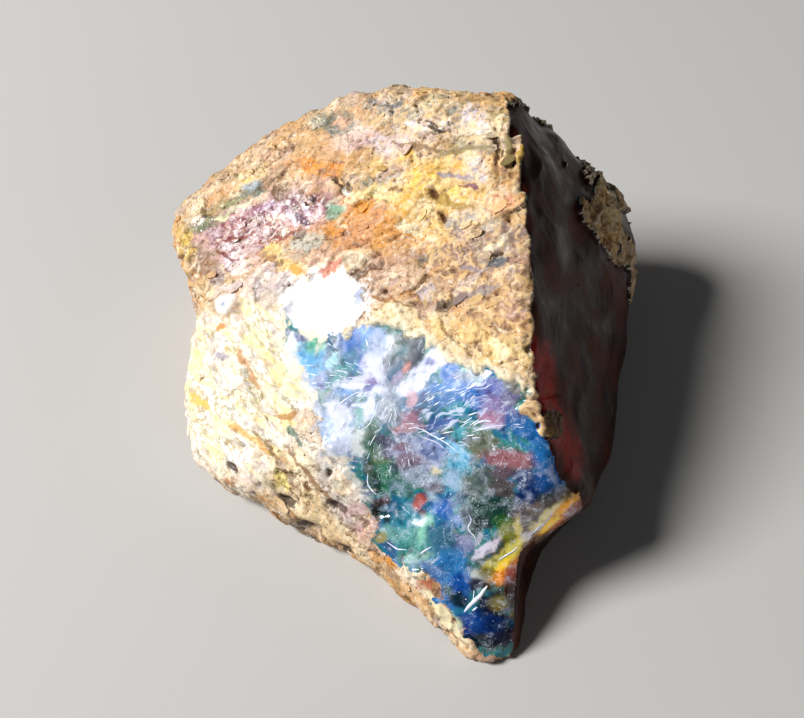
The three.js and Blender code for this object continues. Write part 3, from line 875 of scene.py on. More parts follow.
def relief_tree(sizes, material, dark_material):
    """The weathered crust's relief and the broken faces' scallops, laid on along the normals."""
    tree, inp = new_tree("weathering", sizes)

    kept = {name: add(tree, STORED, {"data_type": "FLOAT"}, {"Name": name})
            for name in ("streaked", "combed", "plated", "flank", "window", "side", "feathered", "smoothed",
                         "dent")}

    def turned(run, length, width):
        """The warped place, turned so that the grain lies along x, in grain lengths and widths."""
        turn = Matrix((run, FACE_OUT.cross(run), FACE_OUT)).to_euler()
        along = add(tree, "ShaderNodeVectorRotate", {"rotation_type": "EULER_XYZ"}, {
            "Vector": bent, "Rotation": tuple(turn)})
        unit = add(tree, JOIN, {}, {0: (inp, length), 1: (inp, width), 2: (inp, width)})
        return add(tree, VECTOR, OVER, {0: along, 1: unit})

    def facets(spot):
        """Flat faces tilted at random, one to a cell: their height, the cells, the way to the middles."""
        cell = add(tree, CELLS, {}, {"Vector": spot, "Scale": 1.0})
        tilt = add(tree, VECTOR, MINUS, {0: (cell, "Color"), 1: (0.5, 0.5, 0.5)})
        away = add(tree, VECTOR, MINUS, {0: spot, 1: (cell, "Position")})
        slope = add(tree, VECTOR, ALONG, {0: tilt, 1: away})
        lift = add(tree, SPLIT, {}, {0: tilt})
        return add(tree, MATH, TIMES_PLUS, {0: (slope, "Value"), 1: 2.2, 2: (lift, "Z")}), cell, away

    place = add(tree, "GeometryNodeInputPosition")
    shift = add(tree, MATH, TIMES, {0: (inp, "Seed"), 1: 0.037})
    moved = add(tree, VECTOR, PLUS, {0: place, 1: shift})
    warp = add(tree, NOISE, {}, {"Vector": moved, "Scale": 400.0, "Detail": 3.0})
    warp = add(tree, VECTOR, MINUS, {0: (warp, 1), 1: (0.5, 0.5, 0.5)})
    warp = add(tree, VECTOR, SCALED, {0: warp, "Scale": 1.7 * MM})
    bent = add(tree, VECTOR, PLUS, {0: moved, 1: warp})
    level = add(tree, VECTOR, ALONG, {0: place, 1: tuple(FACE_V)})
    level = add(tree, RANGE, SMOOTH, {0: (level, "Value"), 1: 10 * MM, 2: 15 * MM})

    # Crags: the crust's largest lumps.
    crag = add(tree, NOISE, {}, {
        "Vector": add(tree, VECTOR, OVER, {0: moved, 1: (inp, "Crag size")}),
        "Scale": 1.0, "Detail": 4.0, "Roughness": 0.5})
    crag = add(tree, RANGE, {}, {0: crag, 1: 0.25, 2: 0.75, 3: -1.0, 4: 1.0})

    # Shards and chips: flat broken faces at every angle, long ones and small ones.
    fault = add(tree, MATH, ABOVE, {0: level, 1: 0.5})
    shard_runs = [turned(run, "Shard length", "Shard width") for run in (RUN_LOW, RUN_HIGH)]
    shard_spot = add(tree, MIX, {"data_type": "VECTOR"}, {0: fault, 4: shard_runs[0], 5: shard_runs[1]}), 1
    shard, cell, away = facets(shard_spot)
    chip, _, _ = facets(add(tree, VECTOR, OVER, {0: bent, 1: (inp, "Chip size")}))
    hop = add(tree, VECTOR, SCALED, {0: away, "Scale": -1.6})
    worn = add(tree, MATH, TIMES_PLUS, {0: kept["flank"], 1: -0.7, 2: 1.0})
    shard, chip = (add(tree, MATH, TIMES, {0: layer, 1: worn}) for layer in (shard, chip))

    # Streaks: long grain that runs down to the right on the low flank and up to the right above it.
    runs = [add(tree, NOISE, {}, {
        "Vector": turned(run, "Streak length", "Streak width"),
        "Scale": 1.0, "Detail": 3.0, "Roughness": 0.6}) for run in (RUN_LOW, RUN_HIGH)]
    streak = add(tree, MIX, {}, {0: level, 2: runs[0], 3: runs[1]})
    streak = add(tree, RANGE, {}, {0: streak, 1: 0.3, 2: 0.7, 3: -1.0, 4: 1.0})
    streak = add(tree, MATH, TIMES, {0: streak, 1: kept["streaked"]})

    # Comb: thin curling ridges round small hollows.
    comb = add(tree, NOISE, {}, {
        "Vector": add(tree, VECTOR, OVER, {0: moved, 1: (inp, "Comb size")}),
        "Scale": 1.0, "Detail": 2.0, "Roughness": 0.45, "Distortion": 1.2})
    comb = add(tree, MATH, UNSIGNED, {0: add(tree, MATH, MINUS, {0: comb, 1: 0.5})})
    comb = add(tree, RANGE, SMOOTH, {0: comb, 1: 0.0, 2: 0.13, 3: 1.0, 4: 0.0})
    comb = add(tree, MATH, TIMES, {0: comb, 1: kept["combed"]})

    # Gaps open between the shards where the crust has shrunk.
    edge = add(tree, CELLS, TO_EDGE, {"Vector": shard_spot, "Scale": 1.0})
    edge = add(tree, MATH, TIMES, {0: edge, 1: (inp, "Shard width")})
    gap = add(tree, RANGE, SMOOTH, {0: edge, 1: 0.0, 2: (inp, "Gap width"), 3: 1.0, 4: 0.0})
    gap = add(tree, MATH, TIMES, {0: gap, 1: kept["plated"]})

    # Ledges: layers of the crust that end in steps.
    bands = []
    for run in (RUN_LOW, RUN_HIGH):
        band = add(tree, VECTOR, ALONG, {0: bent, 1: tuple(FACE_OUT.cross(run))})
        bands.append((band, "Value"))
    ledge = add(tree, MIX, {}, {0: level, 2: bands[0], 3: bands[1]})
    ledge = add(tree, MATH, FRACTION, {0: add(tree, MATH, OVER, {0: ledge, 1: (inp, "Ledge spacing")})})
    where = add(tree, NOISE, {}, {"Vector": moved, "Scale": 210.0, "Detail": 2.0})
    where = add(tree, RANGE, SMOOTH, {0: where, 1: 0.42, 2: 0.6})
    ledge = add(tree, MATH, TIMES, {0: ledge, 1: where})

    # Pits: a few of the cells hold a small round hole.
    hole = add(tree, CELLS, {}, {
        "Vector": add(tree, VECTOR, OVER, {0: bent, 1: (inp, "Pit spacing")}), "Scale": 1.0})
    chance = add(tree, MATH, ABOVE, {0: add(tree, SPLIT, {}, {0: (hole, "Color")}), 1: 0.8})
    hole = add(tree, RANGE, SMOOTH, {0: hole, 1: 0.07, 2: 0.2, 3: 1.0, 4: 0.0})
    pit = add(tree, MATH, TIMES, {0: hole, 1: chance})

    fine = 0.0
    for layer, height in ((shard, "Shard height"), (chip, "Chip height"), (streak, "Streak height"),
                          (comb, "Comb height"), (ledge, "Ledge height")):
        fine = add(tree, MATH, TIMES_PLUS, {0: layer, 1: (inp, height), 2: fine})
    for layer, depth in ((gap, "Gap depth"), (pit, "Pit depth")):
        drop = add(tree, MATH, TIMES, {0: layer, 1: (inp, depth)})
        fine = add(tree, MATH, MINUS, {0: fine, 1: drop})
    rise = add(tree, MATH, TIMES_PLUS, {0: crag, 1: (inp, "Crag height"), 2: fine})

    # Broken faces: shell-shaped scallops with sharp rims, and faint ripples on them.
    distances = [add(tree, CELLS, {}, {
        "Vector": add(tree, VECTOR, OVER, {0: bent, 1: (inp, size)}), "Scale": 1.0})
        for size in ("Scallop size", "Ripple size")]
    shells = [add(tree, MATH, POWER, {0: distance, 1: 2.0}) for distance in distances]
    ripple = add(tree, MATH, TIMES, {0: shells[1], 1: (inp, "Ripple depth")})
    broken = add(tree, MATH, TIMES_PLUS, {0: shells[0], 1: (inp, "Scallop depth"), 2: ripple})
    broken = add(tree, MATH, MINUS, {0: broken, 1: (inp, "Crust thickness")})

    # Where the glass shows: inside the broken face and over most of the steep dark side.
    ragged = add(tree, NOISE, {}, {"Vector": moved, "Scale": 900.0, "Detail": 3.0})
    ragged = add(tree, RANGE, {}, {0: ragged, 1: 0.25, 2: 0.75, 3: -0.6, 4: 0.6})
    glassy = add(tree, MATH, HIGHEST, {0: kept["window"], 1: kept["side"]})
    glassy = add(tree, MATH, PLUS, {0: glassy, 1: ragged})
    width = add(tree, MATH, TIMES_PLUS, {0: kept["feathered"], 1: 1.5, 2: 0.35})
    inside = add(tree, MATH, OVER, {0: glassy, 1: width})
    inside = add(tree, RANGE, SMOOTH, {0: inside, 1: -1.0, 2: 1.0})

    height = add(tree, MIX, {}, {0: inside, 2: rise, 3: broken})
    calm = add(tree, MATH, TIMES_PLUS, {0: kept["smoothed"], 1: -0.93, 2: 1.0})
    height = add(tree, MATH, TIMES, {0: height, 1: calm})
    height = add(tree, MATH, MINUS, {0: height, 1: kept["dent"]})
    offset = add(tree, VECTOR, SCALED, {0: add(tree, "GeometryNodeInputNormal"), "Scale": height})

    stored = (inp, "Geometry")
    for name, value, kind in (
            ("glassy", glassy, "FLOAT"), ("shell", distances[0], "FLOAT"), ("gap", gap, "FLOAT"),
            ("pit", pit, "FLOAT"), ("tone", fine, "FLOAT"), ("comb", comb, "FLOAT"),
            ("hop", hop, "FLOAT_VECTOR"), ("shard_spot", shard_spot, "FLOAT_VECTOR")):
        stored = add(tree, "GeometryNodeStoreNamedAttribute", {"data_type": kind, "domain": "POINT"},
                     {"Geometry": stored, "Name": name, "Value": value})
    raised = add(tree, "GeometryNodeSetPosition", {}, {"Geometry": stored, "Offset": offset})
    raised = add(tree, "GeometryNodeSetShadeSmooth", {}, {"Geometry": raised})
    dark = add(tree, MATH, ABOVE, {0: add(tree, MATH, PLUS, {0: kept["side"], 1: ragged}), 1: 0.0})
    beyond = add(tree, MATH, {"operation": "LESS_THAN"}, {0: kept["window"], 1: 0.25})
    dark = add(tree, MATH, TIMES, {0: dark, 1: beyond})
    end_tree(tree, raised, material, dark_material, dark)
    return tree


def lay(tree, ground, colour, field, low, high, strength=1.0, blend="MIX"):
    """Lays a colour over the ground, more and more as a field goes from low to high."""
    cover = add(tree, RANGE, SMOOTH, {0: field, 1: low, 2: high, 3: 0.0, 4: strength})
    return add(tree, MIX, {**COLOURS, "blend_type": blend, "clamp_result": True}, {
        0: cover, 6: ground, 7: colour}), 2


def stain(tree, ground, mm, name, size, strength):
    """Lays stored marks over the ground, with grain of one size breaking up their edges."""
    marks = add(tree, FIELD, {"attribute_name": name})
    grain = add(tree, NOISE, {}, {"Vector": mm, "Scale": 1 / size, "Detail": 2.0})
    ragged = add(tree, MATH, TIMES_PLUS, {0: grain, 1: 1.2, 2: -0.6})
    cover = add(tree, MATH, PLUS, {0: (marks, "Alpha"), 1: ragged})
    return lay(tree, ground, (marks, "Color"), cover, 0.1, 0.9, strength)


def thin_lines(tree, field, middle, wide, thin):
    """One along the winding lines where a field passes a middle value, falling to nothing beside them."""
    away = add(tree, MATH, UNSIGNED, {0: add(tree, MATH, MINUS, {0: field, 1: middle})})
    return add(tree, RANGE, SMOOTH, {0: away, 1: wide, 2: thin})


def oval_distance(tree, flat, middle, turn, half_sizes):
    """How far each place in the face lies from an oval's middle, in half sizes of the oval."""
    spot = add(tree, "ShaderNodeMapping", {"vector_type": "TEXTURE"}, {
        "Vector": flat, "Location": (*middle, 0), "Rotation": (0, 0, turn), "Scale": (*half_sizes, 1)})
    return add(tree, VECTOR, SIZE_OF, {0: spot}), "Value"


def crust_colour(tree, mm, flat, looks):
    """Weathered crust: cream and ochre resin gone opaque, cracked, pitted and stained by earth, with painted
    light and shade on its relief, painted shade on its steep side and a painted highlight on its glossy facet.
    """
    flank, feathered, smoothed, shaded, sugared, tone, comb, gap, pit = (
        (add(tree, FIELD, {"attribute_name": name}), "Fac")
        for name in ("flank", "feathered", "smoothed", "shaded", "sugared", "tone", "comb", "gap", "pit"))
    body = add(tree, NOISE, {}, {"Vector": mm, "Scale": 1 / 3.4, "Detail": 4.0, "Roughness": 0.6})
    ground = add(tree, "ShaderNodeValToRGB", {"stops": (
        (0.3, "#8E6540"), (0.42, "#B28555"), (0.5, looks.ochre), (0.6, looks.cream), (0.7, "#AE9892"))},
        {0: body})
    ground = stain(tree, ground, mm, "zones", 1.1, 0.85)
    ground = lay(tree, ground, "#F4EFE4", flank, 0.0, 1.0, 0.72)
    ground = lay(tree, ground, "#EEE8DE", feathered, 0.0, 0.6, 0.75)
    ground = stain(tree, ground, mm, "crust_marks", 0.45, 0.9)
    ground = lay(tree, ground, "#F4F1EE", flank, 0.1, 0.8, 0.55)

    # Each shard has its own tint, and streaks of cream, lilac, ochre and olive run along the grain.
    spot = add(tree, FIELD, {"attribute_name": "shard_spot"})
    shard = add(tree, CELLS, {}, {"Vector": (spot, "Vector"), "Scale": 1.0})
    tint = add(tree, SPLIT, {}, {0: (shard, "Color")})
    streaks = add(tree, NOISE, {}, {
        "Vector": (spot, "Vector"), "Scale": 1.5, "Detail": 5.0, "Roughness": 0.7, "Distortion": 0.5})
    streaks = add(tree, SPLIT, {}, {0: (streaks, "Color")})
    for field, axis, low, high, colour, strength in (
            (tint, "X", 0.66, 0.85, "#E8D8BC", 0.28), (tint, "Y", 0.68, 0.86, "#A08A92", 0.28),
            (tint, "Z", 0.66, 0.86, "#D8923A", 0.28), (streaks, "X", 0.53, 0.64, "#F3E4C4", 0.6),
            (streaks, "Y", 0.53, 0.66, "#8E7A80", 0.5), (streaks, "Z", 0.54, 0.66, "#D29440", 0.42),
            (streaks, "X", 0.46, 0.36, "#76704C", 0.5)):
        ground = lay(tree, ground, colour, (field, axis), low, high, strength)
    vein = add(tree, "ShaderNodeMapping", {"vector_type": "TEXTURE"},
               {"Vector": flat, "Rotation": (0, 0, math.radians(-43)), "Scale": (4.0, 1.5, 1)})
    vein = add(tree, NOISE, {}, {
        "Vector": vein, "Scale": 1.0, "Detail": 4.0, "Roughness": 0.62, "Distortion": 0.8})
    patches = add(tree, RANGE, SMOOTH, {0: vein, 1: 0.48, 2: 0.62})
    edges = thin_lines(tree, vein, 0.5, 0.03, 0.004)
    for colour, cover, strength in (("#F2DC80", patches, 0.6), ("#A89048", edges, 0.7)):
        ground = lay(tree, ground, colour, add(tree, MATH, TIMES, {0: cover, 1: flank}), 0.0, 1.0, strength)

    # Painted light and shade: the relief's ridges are painted paler and its hollows darker, broken up by a random
    # mottle.
    mottle = add(tree, NOISE, {}, {
        "Vector": mm, "Scale": 1 / 0.7, "Detail": 5.0, "Roughness": 0.7, "Distortion": 0.7})
    shade = add(tree, MATH, TIMES_PLUS, {0: tone, 1: 0.5 / MM, 2: mottle})
    shade = add(tree, MATH, TIMES_PLUS, {0: flank, 1: 0.07, 2: shade})
    ground = lay(tree, ground, "#FAEBC8", shade, 0.6, 0.9, 0.6)
    ground = lay(tree, ground, "#80684A", shade, 0.5, 0.24, 0.9, "MULTIPLY")
    grain = add(tree, NOISE, {}, {"Vector": mm, "Scale": 1 / 0.45, "Detail": 4.0, "Roughness": 0.75})
    for calm, colour, low, high, strength, blend in (
            (-0.12, "#FFF6E4", 0.55, 0.72, 0.6, "MIX"), (0.16, "#8A7058", 0.47, 0.33, 0.8, "MULTIPLY")):
        worn = add(tree, MATH, TIMES_PLUS, {0: flank, 1: calm, 2: grain})
        ground = lay(tree, ground, colour, worn, low, high, strength, blend)
    plain = add(tree, MATH, MINUS, {0: 1.0, 1: sugared})
    for sign, colour, low, high in ((1.0, "#7E3C54", 0.5, 0.4), (-1.0, "#F8ECF4", 0.52, 0.62)):
        speck = add(tree, MATH, TIMES_PLUS, {0: plain, 1: sign, 2: mottle})
        ground = lay(tree, ground, colour, speck, low, high, 0.75)
    ground = lay(tree, ground, "#F0C888", comb, 0.35, 0.95, 0.5)
    # Painted highlight: the glossy facet is painted nearly white.
    ground = lay(tree, ground, "#FAF9F8", smoothed, 0.25, 0.6, 0.92)

    # Cracks as thin as hairs run between some of the shards, and specks of earth sit in the pores.
    split = add(tree, CELLS, TO_EDGE, {"Vector": (spot, "Vector"), "Scale": 1.0})
    healed = add(tree, RANGE, SMOOTH, {0: body, 1: 0.44, 2: 0.54, 3: 0.12, 4: 0.0})
    for field, calm in ((flank, 0.3), (smoothed, 0.4)):
        healed = add(tree, MATH, TIMES_PLUS, {0: field, 1: calm, 2: healed})
    hair = add(tree, MATH, TIMES_PLUS, {0: mottle, 1: 0.16, 2: split})
    hair = add(tree, MATH, PLUS, {0: hair, 1: healed})
    ground = lay(tree, ground, tuple(looks.earth), hair, 0.11, 0.06, 0.75)
    pore = add(tree, NOISE, {}, {"Vector": mm, "Scale": 1 / 0.32, "Detail": 3.0, "Roughness": 0.6})
    ground = lay(tree, ground, "#6A4A34", add(tree, MATH, MINUS, {0: pore, 1: healed}), 0.58, 0.7, 0.7)
    ground = lay(tree, ground, "#A8763A", gap, 0.3, 0.95, 0.6)
    ground = lay(tree, ground, "#3E2212", pit, 0.3, 0.9, 0.85)
    ground = stain(tree, ground, mm, "slits", 0.35, 0.85)
    # Painted shade: the crust on the steep side is darkened, except on the far shoulder.
    return lay(tree, ground, "#6A5A44", shaded, 0.0, 1.0, 0.9, "MULTIPLY"), tint


def face_colour(tree, mm, flat, fan, looks):
    """The broken face: amber whose surface glows blue and green, with white strain feathers in it."""
    body = add(tree, NOISE, {}, {
        "Vector": mm, "Scale": 1 / 3.0, "Detail": 3.0, "Roughness": 0.6, "Distortion": 0.8})
    ground = add(tree, "ShaderNodeValToRGB", {"stops": (
        (0.3, "#1F4A86"), (0.42, "#2C7FB2"), (0.5, "#35938C"), (0.58, "#5A7A72"), (0.7, "#7E7CAC"))}, {0: body})
    ground = stain(tree, ground, mm, "face_marks", 0.6, 0.94)
    shade = add(tree, NOISE, {}, {
        "Vector": mm, "Scale": 1 / 0.9, "Detail": 4.0, "Roughness": 0.62, "Distortion": 0.3})
    ground = lay(tree, ground, "#66749A", shade, 0.5, 0.3, 0.55, "MULTIPLY")
    ground = lay(tree, ground, "#CCDEF0", shade, 0.53, 0.74, 0.45)
    rim_painted_glow = add(tree, FIELD, {"attribute_name": "rim_painted_glow"})
    milk = add(tree, NOISE, {}, {
        "Vector": mm, "Scale": 1 / 2.2, "Detail": 4.0, "Roughness": 0.58, "Distortion": 1.2})
    milk = add(tree, MATH, TIMES_PLUS, {0: (rim_painted_glow, "Fac"), 1: -0.15, 2: milk})
    height = add(tree, SPLIT, {}, {0: flat}), "Y"
    for start, end, change in ((-12.5, -15.5, -0.16), (5.5, 7.5, -0.14)):
        clearer = add(tree, RANGE, SMOOTH, {0: height, 1: start, 2: end, 3: 0.0, 4: change})
        milk = add(tree, MATH, PLUS, {0: milk, 1: clearer})
    ground = lay(tree, ground, "#C4CCE2", milk, 0.5, 0.72, 0.5)

    # Strain feathers fan out from the heart, and slanted streaks lie side by side to its right.
    heart = oval_distance(tree, flat, (-4.0, 2.0), 0.4, (5.2, 6.6))
    ground = lay(tree, ground, "#E2E6EE", heart, 1.7, 0.8, 1.0, "MULTIPLY")
    reach = add(tree, RANGE, SMOOTH, {0: heart, 1: 1.05, 2: 0.45, 3: 0.0, 4: 0.7})
    veil = add(tree, MATH, TIMES, {0: add(tree, RANGE, SMOOTH, {0: fan, 1: 0.52, 2: 0.68}), 1: reach})
    ground = lay(tree, ground, tuple(looks.feather), veil, 0.0, 1.0)
    bend = add(tree, NOISE, {}, {"Vector": flat, "Scale": 1 / 2.6, "Detail": 2.0})
    bend = add(tree, VECTOR, SCALED, {0: (bend, "Color"), "Scale": 2.4})
    slant = add(tree, "ShaderNodeMapping", {"vector_type": "TEXTURE"}, {
        "Vector": add(tree, VECTOR, PLUS, {0: flat, 1: bend}), "Rotation": (0, 0, math.radians(22)),
        "Scale": (1.7, 0.36, 1)})
    slant = add(tree, NOISE, {}, {"Vector": slant, "Scale": 1.0, "Detail": 3.0, "Roughness": 0.55})
    near = oval_distance(tree, flat, (4.8, 2.6), 0.35, (6.6, 3.8))
    near = add(tree, RANGE, SMOOTH, {0: near, 1: 1.05, 2: 0.5, 3: 0.0, 4: 0.75})
    veil = add(tree, MATH, TIMES, {0: add(tree, RANGE, SMOOTH, {0: slant, 1: 0.5, 2: 0.66}), 1: near})
    ground = lay(tree, ground, "#D0D4EE", veil, 0.0, 1.0)

    # Fine bright threads are healed cracks seen edge on.
    for field, middle, wide, over, most, colour in (
            (shade, 0.5, 0.016, body, 0.45, "#E2ECF4"), (milk, 0.52, 0.012, shade, 0.6, "#E8ECF8")):
        where = add(tree, RANGE, SMOOTH, {0: over, 1: 0.46, 2: 0.58, 3: 0.0, 4: most})
        thread = add(tree, MATH, TIMES, {0: thin_lines(tree, field, middle, wide, 0.002), 1: where})
        ground = lay(tree, ground, colour, thread, 0.0, 1.0)
    return ground


def new_material(name):
    """An empty material, its tree, and each place in mm in the piece's own frame."""
    material = bpy.data.materials.new(name)
    material.use_nodes = True
    tree = material.node_tree
    tree.nodes.clear()
    place = add(tree, "ShaderNodeTexCoord")
    return material, tree, add(tree, VECTOR, SCALED, {0: (place, "Object"), "Scale": 1 / MM})


def end_amber(tree, surface):
    """Ends an amber material: below its surface, the resin takes the blue out of the light."""
    depth = add(tree, "ShaderNodeVolumeAbsorption", {}, ABSORPTION)
    add(tree, "ShaderNodeOutputMaterial", {}, {"Surface": surface, "Volume": depth})


def amber_material(looks):
    """Raw amber, dug up with its crust on and broken open.

    The crust is dull and opaque. The broken faces are resin glass: clear brown inside, with a blue
    and green glow at the surface, and a sharp gloss. Along the amber rim the face gives off its
    own colour as a painted glow.
    """
    material, tree, mm = new_material("raw amber")
    face = add(tree, "ShaderNodeMapping", {}, {"Vector": mm, "Rotation": (FACE_TILT - math.pi / 2, 0, 0)})
    flat = add(tree, VECTOR, TIMES, {0: face, 1: (1, 1, 0)})
    front, glassy, feathered, smoothed, rimmed, satin, rim_painted_glow = (
        (add(tree, FIELD, {"attribute_name": name}), "Fac")
        for name in ("front", "glassy", "feathered", "smoothed", "rimmed", "satin", "rim_painted_glow"))

    # A fan of fine rays about the heart breaks up the feathers and the pale side of the face.
    ray = add(tree, VECTOR, MINUS, {0: flat, 1: (*HEART, 0.0)})
    parts = add(tree, SPLIT, {}, {0: ray})
    angle = add(tree, MATH, {"operation": "ARCTAN2"}, {0: (parts, "Y"), 1: (parts, "X")})
    fan = add(tree, JOIN, {}, {"X": angle, "Y": (add(tree, VECTOR, SIZE_OF, {0: ray}), "Value")})
    fan = add(tree, VECTOR, TIMES, {0: fan, 1: (2.6, 0.42, 1.0)})
    fan = add(tree, NOISE, {}, {
        "Vector": fan, "Scale": 1.0, "Detail": 4.0, "Roughness": 0.6, "Distortion": 1.3})

    crust, tint = crust_colour(tree, mm, flat, looks)
    window = face_colour(tree, mm, flat, fan, looks)
    glass = lay(tree, tuple(looks.glass), window, front, 0.0, 1.0)

    grit = add(tree, NOISE, {}, {"Vector": mm, "Scale": 1 / 0.4, "Detail": 3.0})
    edge = add(tree, MATH, PLUS, {0: add(tree, MATH, MINUS, {0: grit, 1: 0.5}), 1: glassy})
    rays = add(tree, MATH, TIMES, {0: add(tree, MATH, MINUS, {0: fan, 1: 0.5}), 1: feathered})
    edge = add(tree, MATH, TIMES_PLUS, {0: rays, 1: 9.0, 2: edge})
    width = add(tree, MATH, TIMES_PLUS, {0: feathered, 1: 1.1, 2: 0.09})
    edge = add(tree, MATH, OVER, {0: edge, 1: width})
    inside = add(tree, RANGE, SMOOTH, {0: edge, 1: -1.0, 2: 1.0})
    colour = lay(tree, crust, glass, inside, 0.0, 1.0)
    beyond, within = (add(tree, MATH, TIMES, {0: glassy, 1: factor}) for factor in (-1.0, 1.8))
    rim = add(tree, MATH, MINUS, {0: rimmed, 1: add(tree, MATH, HIGHEST, {0: beyond, 1: within})})
    rim = add(tree, MATH, MINUS, {0: rim, 1: smoothed})
    colour = lay(tree, colour, "#EFE3C4", rim, 0.1, 0.8, 0.75)

    grain = add(tree, NOISE, {}, {"Vector": mm, "Scale": 1 / 0.25, "Detail": 3.0, "Roughness": 0.6})
    ripple = add(tree, NOISE, {}, {"Vector": mm, "Scale": 1 / 1.1, "Detail": 3.0, "Distortion": 0.8})
    dull = add(tree, RANGE, {}, {0: (tint, "X"), 1: 0.0, 2: 1.0, 3: 0.72, 4: 0.36})
    dull = add(tree, MATH, TIMES_PLUS, {0: smoothed, 1: -0.3, 2: dull})
    gloss = add(tree, RANGE, SMOOTH, {0: ripple, 1: 0.4, 2: 0.65, 3: 0.1, 4: 0.22})
    # Painted glow: along the amber rim the face gives off its own colour.
    painted_glow_strength = add(tree, MATH, TIMES, {0: rim_painted_glow, 1: 0.35})
    gloss = add(tree, MATH, TIMES_PLUS, {0: satin, 1: 0.3, 2: gloss})
    gloss = add(tree, MIX, {}, {0: inside, 2: dull, 3: gloss})
    clear = add(tree, RANGE, {}, {0: window, 1: 0.05, 2: 0.5, 3: 0.5, 4: 0.08})
    clear = add(tree, MATH, TIMES, {0: inside, 1: clear})

    hackle = add(tree, MATH, TIMES_PLUS, {0: fan, 1: 2.0, 2: ripple})
    height = add(tree, MIX, {}, {0: inside, 2: grain, 3: hackle})
    calm = add(tree, MATH, TIMES_PLUS, {0: smoothed, 1: -0.35, 2: 0.4})
    calm = add(tree, MATH, TIMES_PLUS, {0: inside, 1: -0.28, 2: calm})
    bump = add(tree, "ShaderNodeBump", {}, {"Strength": calm, "Distance": 0.1 * MM, "Height": height})
    shader = add(tree, "ShaderNodeBsdfPrincipled", {}, {
        "Base Color": colour, "Roughness": gloss, "Transmission Weight": clear, "IOR": AMBER_IOR,
        "Specular IOR Level": 0.3, "Normal": bump, "Emission Color": window, "Emission Strength": painted_glow_strength})
    end_amber(tree, shader)
    return material


def shade_material(looks):
    """Old broken amber on the steep side, with a thin bloom on it that takes the edge off its gloss.

    It is clear cherry brown inside and looks nearly black. Beside the ridge it gives off a painted
    deep red glow, which stands in for light that enters by the ridge and comes out beside it.
    """
    material, tree, mm = new_material("bloomed amber glass")
    shell, glow = ((add(tree, FIELD, {"attribute_name": name}), "Fac") for name in ("shell", "glow"))
    bloom = add(tree, NOISE, {}, {"Vector": mm, "Scale": 1 / 4.0, "Detail": 4.0, "Roughness": 0.6})
    haze = add(tree, NOISE, {}, {
        "Vector": mm, "Scale": 1 / 0.8, "Detail": 4.0, "Roughness": 0.65, "Distortion": 0.8})
    ring = add(tree, MATH, {"operation": "SINE"}, {
        0: add(tree, MATH, TIMES_PLUS, {0: shell, 1: 42.0, 2: haze})})
    ring = add(tree, MATH, TIMES_PLUS, {0: ring, 1: 0.35, 2: haze})
    ground = lay(tree, "#300C05", "#5C240C", bloom, 0.42, 0.66)
    ground = lay(tree, ground, "#140704", haze, 0.5, 0.3, 0.8)
    ground = lay(tree, ground, "#5C3018", haze, 0.62, 0.8, 0.3)
    dull = add(tree, RANGE, SMOOTH, {0: bloom, 1: 0.35, 2: 0.6, 3: 0.24, 4: 0.48})
    # Painted glow: beside the ridge the surface gives off deep red light of its own.
    painted_glow_strength = add(tree, RANGE, SMOOTH, {0: haze, 1: 0.3, 2: 0.7, 3: 0.06, 4: 0.17})
    painted_glow_strength = add(tree, MATH, TIMES, {0: painted_glow_strength, 1: glow})
    bump = add(tree, "ShaderNodeBump", {}, {"Strength": 0.14, "Distance": 0.08 * MM, "Height": ring})
    shader = add(tree, "ShaderNodeBsdfPrincipled", {}, {
        "Base Color": ground, "Roughness": dull, "Transmission Weight": 0.2, "IOR": AMBER_IOR,
        "Specular IOR Level": 0.12, "Normal": bump,
        "Emission Color": tuple(looks.glow), "Emission Strength": painted_glow_strength})
    end_amber(tree, shader)
    return material


def plain_material(name, colours, grain, roughness, ior, transmission=0.0, glow=0.0):
    """A small piece's material: its colour drifts between two, in grains of one size in mm."""
    material, tree, mm = new_material(name)
    drift = add(tree, NOISE, {}, {"Vector": mm, "Scale": 1 / grain, "Detail": 3.0})
    colour = lay(tree, colours[0], colours[1], drift, 0.4, 0.62)
    dull = add(tree, RANGE, {}, {0: drift, 1: 0.3, 2: 0.7, 3: roughness * 0.8, 4: roughness * 1.2})
    bump = add(tree, "ShaderNodeBump", {}, {"Strength": 0.3, "Distance": 0.03 * MM, "Height": drift})
    # A glow, where given, is painted light: the piece gives off its own colour.
    shader = add(tree, "ShaderNodeBsdfPrincipled", {}, {
        "Base Color": colour, "Roughness": dull, "Transmission Weight": transmission, "IOR": ior,
        "Normal": bump, "Emission Color": colour, "Emission Strength": glow})
    add(tree, "ShaderNodeOutputMaterial", {}, {"Surface": shader})
    return material


